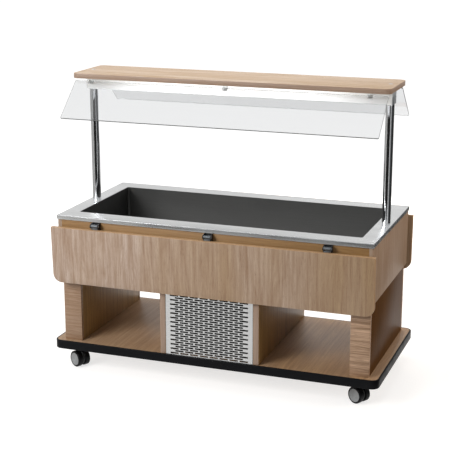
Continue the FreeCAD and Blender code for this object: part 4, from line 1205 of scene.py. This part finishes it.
@dataclass
class TraySlides:
    """Hinged flaps on both serving sides, with their pinned hinges."""

    thick: float = 0.020
    height: float = 0.258
    corner: float = 0.04
    easing: float = 0.001
    lean: float = 2.5  # degrees, foot towards the body
    setback: float = 0.002
    drop: float = 0.015
    leaf_thick: float = 0.003
    leaf_drop: float = 0.13
    knuckle: float = 0.008
    knuckle_wall: float = 0.0039
    cheek_gap: float = 0.007
    toe_round: float = 0.3  # share of a leaf's width
    knuckle_lap: float = 0.9  # share of the knuckle that the leaf starts under
    rivet: float = 0.0055
    rivet_rise: float = 0.0014
    bracket_width: float = 0.038
    screw_drop: Point = (0.05, 0.08, 0.11)

    def build(self, joints: Sequence[dict]) -> None:
        """Make both flaps, their leaves and the rivets of the pins.

        Args:
            joints: the frame's joints, which hold the pins' lines.
        """
        pins = {j["child"]: Vector(j["pos_m"]) for j in joints}
        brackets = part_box("hinge_brackets")
        reach = brackets[1].x - self.bracket_width / 2
        for side in Side:
            body = f"{side.label}_flap"
            hang = Matrix.Translation(pins[body]) @ Matrix.Rotation(
                math.radians(self.lean) * -side.value, 4, "X")
            self.make_flap(side, body, hang)
            self.make_leaves(side, body, [hang @ Matrix.Translation((x, 0, 0))
                                          for x in (-reach, 0, reach)])
        dress_nodes(POWDER_BLACK, "hinge_brackets")
        half = self.bracket_width / 2
        spots = [((x + way * half, pins[body].y, pins[body].z), (way, 0, 0))
                 for body in ("front_flap", "rear_flap") for x in (-reach, 0, reach)
                 for way in (-1, 1)]
        Screw(self.rivet, self.rivet_rise, self.rivet_rise * 0.7).fit(
            "hinge_pin_rivets", spots, ZINC)

    def make_flap(self, side: Side, body: str, hang: Matrix) -> None:
        """Make one flap upright under its pin line, then lean it.

        Args:
            side: the serving side that it hangs on.
            body: the body that it rides on.
            hang: the move from the pin's own frame to its place.
        """
        name = f"flap_{side.label}"
        low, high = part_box(name)
        near, far = sorted((self.setback * side.value,
                            (self.setback + self.thick) * side.value))
        foot = -self.drop - self.height
        piece = block(f"{name}_panel", (low.x, near, foot), (high.x, far, -self.drop))
        ease(piece, self.corner, lambda e: runs(1)(e) and at(2, foot)(e), 10)
        ease(piece, self.easing, sharp, 3)
        complete(piece, OAK_FLAP, body, [name])
        paint(piece, BAND_FLAP, lambda f: abs(f.normal.y) < 0.5)
        settle(piece, hang)

    def make_leaves(self, side: Side, body: str, hangs: Sequence[Matrix]) -> None:
        """Make one strap with its knuckle, and fit it at each bracket.

        Args:
            side: the serving side.
            body: the body that they ride on.
            hangs: the move to each bracket's pin.
        """
        width = self.bracket_width - self.cheek_gap
        turned = disc("knuckle", self.knuckle, -width / 2, width / 2, 32)
        open_through(turned, 2, self.knuckle_wall)
        knuckle = spread(turned, "knuckle", [Matrix.Rotation(math.radians(90), 4, "Y")])
        near, far = sorted(((self.setback - self.leaf_thick) * side.value,
                            self.setback * side.value))
        strap = block("strap", (-width / 2, near, -self.leaf_drop),
                      (width / 2, far, -self.knuckle * self.knuckle_lap))
        ease(strap, width * self.toe_round,
             lambda e: runs(1)(e) and at(2, -self.leaf_drop)(e), 6)
        ease(strap, self.leaf_thick / 5)
        leaf = join("leaf", [strap, knuckle])
        name = f"flap_{side.label}_hinges"
        piece = spread(leaf, f"{name}_leaves", hangs)
        complete(piece, ZINC_DARK, body, [name])
        inner = (self.setback - self.leaf_thick) * side.value
        spots = [(hang @ Vector((0, inner, -drop)),
                  hang.to_3x3() @ Vector((0, -side.value, 0)))
                 for hang in hangs for drop in self.screw_drop]
        Screw().fit(f"{name}_screws", spots, ZINC, body)


@dataclass
class Casters:
    """Four twin-wheel casters."""

    tyre_thick: float = 0.0085
    shoulder: float = 0.0045
    rings: Sequence[float] = (0.0245, 0.0190, 0.0135)
    ring_width: float = 0.0011
    ring_depth: float = 0.0006
    boss: float = 0.0085
    dish: float = 0.0014
    inner_dish: float = 0.005
    inner_boss: float = 0.0125
    inner_lip: float = 0.003
    inner_draft: float = 0.0012
    boss_draft: float = 0.0008

    def build(self, joints: Sequence[dict]) -> None:
        """Make every wheel where its joint says and dress what carries it.

        Args:
            joints: the frame's joints.
        """
        low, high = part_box("caster_front_left_wheel_a")
        radius = (high.z - low.z) / 2
        axis = next(j["axis"] for j in joints
                    if j["child"].startswith("caster_front_left_wheel"))
        across = (high.x - low.x - 2 * radius * abs(axis[1])) / abs(axis[0])
        hub, tyre = self.make_hub(radius, across / 2), self.make_tyre(radius, across / 2)
        for joint in joints:
            wheel = joint["child"].removesuffix("_turn")
            if "_wheel_" not in wheel:
                continue
            outward = Vector(joint["axis"]) * (1 if wheel.endswith("_a") else -1)
            move = facing(joint["pos_m"], outward)
            complete(copy_piece(hub, f"{wheel}_hub", move), NYLON_GREY,
                     joint["child"], [wheel])
            complete(copy_piece(tyre, f"{wheel}_tyre", move), TREAD,
                     joint["child"])
        for piece in (hub, tyre):
            bpy.data.objects.remove(piece)
        names = [f"caster_{end.label}_{hand.label}" for end in Side for hand in Hand]
        dress_nodes(NYLON_BLACK, *[f"{name}_housing" for name in names])
        dress_nodes(ZINC, *[f"{name}_axle" for name in names])
        dress_nodes(ZINC, "caster_plates")

    def make_hub(self, wheel: float, half: float) -> Piece:
        """Make a hub about +Z: rings turned in its outer face, a deep dish inside.

        Args:
            wheel: the wheel's radius.
            half: half of its width.

        Returns:
            The hub.
        """
        radius = wheel - self.tyre_thick
        piece = disc("hub", radius, -half, half, 64)
        with editing(piece):
            pick(piece, "faces", at(2, half))
            reach = radius
            width = self.ring_width
            for ring in self.rings:
                for thickness, depth in ((reach - ring - width / 2, 0),
                                         (width / 4, -self.ring_depth), (width / 2, 0),
                                         (width / 4, self.ring_depth)):
                    bpy.ops.mesh.inset(thickness=thickness, depth=depth)
                reach = ring - width / 2
            bpy.ops.mesh.inset(thickness=reach - self.boss - self.dish, depth=0)
            bpy.ops.mesh.inset(thickness=self.dish, depth=-self.dish)
            pick(piece, "faces", at(2, -half))
            floor = radius - self.inner_lip - self.inner_draft - self.inner_boss
            for thickness, depth in ((self.inner_lip, 0), (self.inner_draft, -self.inner_dish),
                                     (floor, 0), (self.boss_draft, self.inner_dish)):
                bpy.ops.mesh.inset(thickness=thickness, depth=depth)
        return piece

    def make_tyre(self, radius: float, half: float) -> Piece:
        """Make a tread about +Z with round shoulders.

        Args:
            radius: the wheel's radius.
            half: half of its width.

        Returns:
            The tread.
        """
        piece = disc("tyre", radius, -half, half, 64)
        ease(piece, self.shoulder, at(2, half, -half), 5)
        open_through(piece, 2, self.tyre_thick - self.shoulder)
        return piece


@dataclass
class Machine:
    """Slotted panels and the condensing unit behind them."""

    screw_inset: Point = (0.0095, 0.018)

    def build(self) -> None:
        """Dress the panels and the unit's parts, and fasten the service panel."""
        dress_nodes(STEEL_PANEL_SLOT_SHADE, "grille_front", "grille_rear")
        dress_nodes(FINS, "condenser")
        dress_nodes(POWDER_BLACK, "fan_shroud", "fan_motor", "compressor")
        dress_nodes(NYLON_BLACK, "fan_rotor")
        low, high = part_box("grille_rear")
        across, up = self.screw_inset
        spots = [((x, high.y, z), (0, 1, 0)) for x in (low.x + across, high.x - across)
                 for z in (high.z - up, (low.z + high.z) / 2)]
        Screw().fit("service_panel_screws", spots, ZINC)


@dataclass
class Controls:
    """Display, rocker switches and gland on the service panel."""

    window_clear: float = 0.0006
    screw_inset: float = 0.007
    digit_height: float = 0.014
    mark_height: float = 0.0048
    raise_by: float = 0.0002
    face_reach: float = 0.0091  # pivot to the middle of each half of a rocker's face
    face_slope: float = 9.1
    rock: float = 7.0
    half_rise: float = 0.00625  # pivot to the middle of each half, up or down
    bezel_rise: float = 0.004  # from the plate's face to the bezel's
    window_middle: float = 0.055  # from the plate's end
    window_half: Point = (0.0228, 0.0, 0.0098)
    window_thick: float = 0.001
    window_round: float = 0.0002

    def build(self, joints: Sequence[dict]) -> None:
        """Dress the controls and add their marks.

        Args:
            joints: the frame's joints, which hold the rockers' pivots.
        """
        low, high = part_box("control_plate")
        dress_nodes(NYLON_BLACK, "control_plate", "cable_gland", "main_switch", "lamp_switch")
        face = high.y - self.bezel_rise
        spots = [((x, face, z), (0, 1, 0)) for x in (low.x + self.screw_inset,
                                                      high.x - self.screw_inset)
                 for z in (low.z + self.screw_inset, high.z - self.screw_inset)]
        Screw(0.0028, 0.0012, 0.0008, 0.001).fit("control_plate_screws", spots, ZINC)
        self.make_display(low, high)
        for joint in joints:
            if joint["child"].endswith("_rocker"):
                self.mark_rocker(joint["child"], Vector(joint["pos_m"]))

    def letter(self, name: str, text: str, height: float, move: Matrix) -> Piece:
        """Make a raised mark from text.

        Args:
            name: the mark's name.
            text: what it says.
            height: height of a capital.
            move: from the text's own frame, facing +Z, to its place.

        Returns:
            The mark.
        """
        deselect()
        bpy.ops.object.text_add()
        piece = bpy.context.object
        piece.name = name
        piece.data.body = text
        piece.data.align_x = "CENTER"
        piece.data.align_y = "CENTER"
        piece.data.size = height / 0.7
        piece.data.extrude = self.raise_by
        piece.data.resolution_u = 4
        bpy.ops.object.convert(target="MESH")
        settle(piece, move)
        return piece

    def make_display(self, low: Vector, high: Vector) -> None:
        """Make the smoked window and the temperature that shines through it.

        Args:
            low: the control plate's lowest corner.
            high: its highest corner.
        """
        middle = Vector((low.x + self.window_middle, high.y, (low.z + high.z) / 2))
        half = Vector(self.window_half)
        window = block("display_window",
                       middle - half - Vector((0, self.window_thick, 0)),
                       middle + half - Vector((0, self.window_clear, 0)))
        ease(window, self.window_round)
        complete(window, DISPLAY)
        read = Matrix(((-1, 0, 0, middle.x), (0, 0, 1, middle.y - self.window_clear),
                       (0, 1, 0, middle.z), (0, 0, 0, 1)))
        digits = self.letter("display_digits", "4.0", self.digit_height, read)
        complete(digits, DIGITS)

    def mark_rocker(self, body: str, pivot: Vector) -> None:
        """Put the bar and ring of on and off on one rocker's face.

        Args:
            body: the rocker's body.
            pivot: the middle of its lugs.
        """
        rock = Matrix.Translation(pivot) @ Matrix.Rotation(math.radians(self.rock), 4, "X")
        read = Matrix(((-1, 0, 0, 0), (0, 0, 1, 0), (0, 1, 0, 0), (0, 0, 0, 1)))
        for text, way, name in (("I", 1, "on"), ("O", -1, "off")):
            slope = Matrix.Rotation(math.radians(self.face_slope) * way, 4, "X")
            middle = Matrix.Translation((0, self.face_reach, way * self.half_rise))
            move = rock @ middle @ slope @ read
            mark = self.letter(f"{body}_{name}_mark", text, self.mark_height, move)
            complete(mark, MARKING, body)


# ------------------------------------------------------------------------ studio
@dataclass
class Studio:
    """Pale floor, soft lamps, cards for the metal to mirror, and the camera."""

    camera_place: Point = (1.8021, -5.0877, 2.0773)
    camera_yaw: float = 19.971
    camera_pitch: float = 14.751
    lens: float = 97.605  # on a 36 mm wide sensor
    floor_tone: str = "#b8b7b5"
    floor_half: float = 30.0
    lift_near: float = 0.70
    lift_far: float = 0.88
    lift_start: float = 1.3
    lift_end: float = 3.2
    sky: float = 0.30
    # name, place, side, watts, colour, whether shiny surfaces show it
    lamps: Sequence[tuple] = (
        ("key", (-2.4, -3.9, 2.9), 2.2, 190.0, "#ffffff", True),
        ("top", (-0.2, 0.5, 3.9), 2.6, 66.0, "#ffffff", False),
        ("rear", (-0.4, 3.4, 1.0), 1.6, 62.0, "#fff0e0", False),
        ("warm_side", (3.6, 0.4, 1.5), 1.8, 42.0, "#ffecd8", False),
    )
    # name, lowest corner, highest corner, colour
    cards: Sequence[tuple] = (
        ("card_front", (-1.35, -2.30, 0.02), (2.30, -2.28, 1.15), "#161616"),
        ("card_front_left", (-2.70, -2.30, 0.02), (-2.68, -0.42, 1.15), "#c6c8c9"),
        ("card_far_left", (-2.66, -2.30, 0.02), (-1.37, -2.28, 1.15), "#c6c8c9"),
        ("card_corner", (2.70, -2.30, 0.02), (2.72, -0.9, 1.15), "#8e9092"),
        ("card_right", (2.70, -0.90, 0.02), (2.72, 2.3, 1.15), "#26282a"),
        ("card_rear", (-2.6, 2.30, 0.02), (0.95, 2.32, 0.55), "#b4b6b8"),
        ("card_rear_right", (0.95, 2.30, 0.02), (2.7, 2.32, 1.15), "#5c5e60"),
        ("card_left", (-2.7, -0.4, 0.02), (-2.68, 2.3, 0.95), "#b4b6b8"),
        ("card_floor", (0.95, -1.2, 0.001), (2.7, 2.3, 0.002), "#1c1c1c"),
    )

    def build(self) -> None:
        """Make the floor, the world, the lamps, the cards and the camera."""
        self.make_floor()
        self.make_world()
        for lamp in self.lamps:
            self.make_lamp(*lamp)
        for card in self.cards:
            self.make_card(*card)
        self.make_camera()

    def seen_rays(self, tree: Tree) -> Node:
        """Tell rays that look at things from rays that only light them.

        Args:
            tree: the node tree to add to.

        Returns:
            1 for camera, glossy and transmission rays, and 0 for the rest.
        """
        path = add_node(tree, "LightPath")
        clear = add_node(tree, "Math", {0: path.outputs["Is Camera Ray"],
                                        1: path.outputs["Is Transmission Ray"]},
                         operation="MAXIMUM")
        return add_node(tree, "Math", {0: clear, 1: path.outputs["Is Glossy Ray"]},
                        operation="MAXIMUM")

    def make_floor(self) -> None:
        """Make the pale floor, which turns to pure white away from the bar."""
        deselect()
        bpy.ops.mesh.primitive_plane_add(size=2 * self.floor_half, location=(0, 0, -0.0005))
        floor = bpy.context.object
        floor.name = "studio_floor"
        material = bpy.data.materials.new("studio_floor_paper")
        material.use_nodes = True
        tree = material.node_tree
        shader = tree.nodes["Principled BSDF"]
        fill(tree, shader, {"Base Color": colour(self.floor_tone), "Roughness": 0.9})
        place = add_node(tree, "TexCoord").outputs["Object"]
        away = add_node(tree, "VectorMath", {0: place}, operation="LENGTH")
        lift = add_node(tree, "MapRange", {
            0: away.outputs["Value"], 1: self.lift_start, 2: self.lift_end,
            3: self.lift_near, 4: self.lift_far}, interpolation_type="SMOOTHSTEP")
        strength = add_node(tree, "Math", {0: lift, 1: self.seen_rays(tree)},
                            operation="MULTIPLY")
        glow = add_node(tree, "Emission", {"Strength": strength})
        both = add_node(tree, "AddShader", {0: shader, 1: glow})
        fill(tree, tree.nodes["Material Output"], {"Surface": both})
        floor.data.materials.append(material)

    def make_world(self) -> None:
        """Make the world: a soft sky for light, white where it is seen."""
        world = bpy.data.worlds.new("studio")
        bpy.context.scene.world = world
        world.use_nodes = True
        tree = world.node_tree
        level = add_node(tree, "MapRange", {0: self.seen_rays(tree), 3: self.sky, 4: 1.0})
        fill(tree, tree.nodes["Background"], {"Color": (1, 1, 1, 1), "Strength": level})

    def make_lamp(self, name: str, place: Point, size: float, power: float,
                  tone: str, mirrored: bool) -> None:
        """Hang a soft square lamp that faces the bar.

        Args:
            name: the lamp's name.
            place: where it hangs.
            size: its side.
            power: its watts.
            tone: its colour.
            mirrored: whether shiny surfaces show it.
        """
        lamp = bpy.data.lights.new(name, "AREA")
        lamp.size = size
        lamp.energy = power
        lamp.color = colour(tone)[:3]
        holder = bpy.data.objects.new(name, lamp)
        holder.visible_glossy = mirrored
        holder.visible_transmission = mirrored
        bpy.context.scene.collection.objects.link(holder)
        aim = Vector((0, 0, 0.6)) - Vector(place)
        holder.matrix_world = Matrix.Translation(place) @ aim.to_track_quat(
            "-Z", "Y").to_matrix().to_4x4()

    def make_card(self, name: str, low: Point, high: Point, tone: str) -> None:
        """Stand a card that only mirrors and sheens see.

        Args:
            name: the card's name.
            low: its lowest corner.
            high: its highest corner.
            tone: its colour.
        """
        card = block(name, low, high)
        material = bpy.data.materials.new(f"{name}_felt")
        material.use_nodes = True
        tree = material.node_tree
        fill(tree, tree.nodes["Principled BSDF"], {"Base Color": colour(tone),
                                                   "Roughness": 1.0})
        card.data.materials.append(material)
        card.visible_camera = card.visible_diffuse = False
        card.visible_transmission = card.visible_shadow = False

    def make_camera(self) -> None:
        """Set the camera at the photograph's viewing angle."""
        camera = bpy.data.cameras.new("camera")
        camera.lens = self.lens
        camera.sensor_fit = "HORIZONTAL"
        camera.sensor_width = 36.0
        camera.clip_end = 100.0
        holder = bpy.data.objects.new("camera", camera)
        bpy.context.scene.collection.objects.link(holder)
        holder.location = self.camera_place
        holder.rotation_euler = (math.radians(90 - self.camera_pitch), 0,
                                 math.radians(self.camera_yaw))
        bpy.context.scene.camera = holder
        bpy.context.scene.view_settings.view_transform = "Standard"


def main() -> None:
    """Build the looks of the whole bar round its frame."""
    logging.basicConfig(level=logging.INFO, format="%(name)s: %(message)s")
    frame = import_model()
    Base().build()
    Body().build()
    Machine().build()
    Well().build()
    Gantry().build()
    TraySlides().build(frame["joints"])
    Casters().build(frame["joints"])
    Controls().build(frame["joints"])
    Studio().build()


if __name__ == "__main__":
    main()
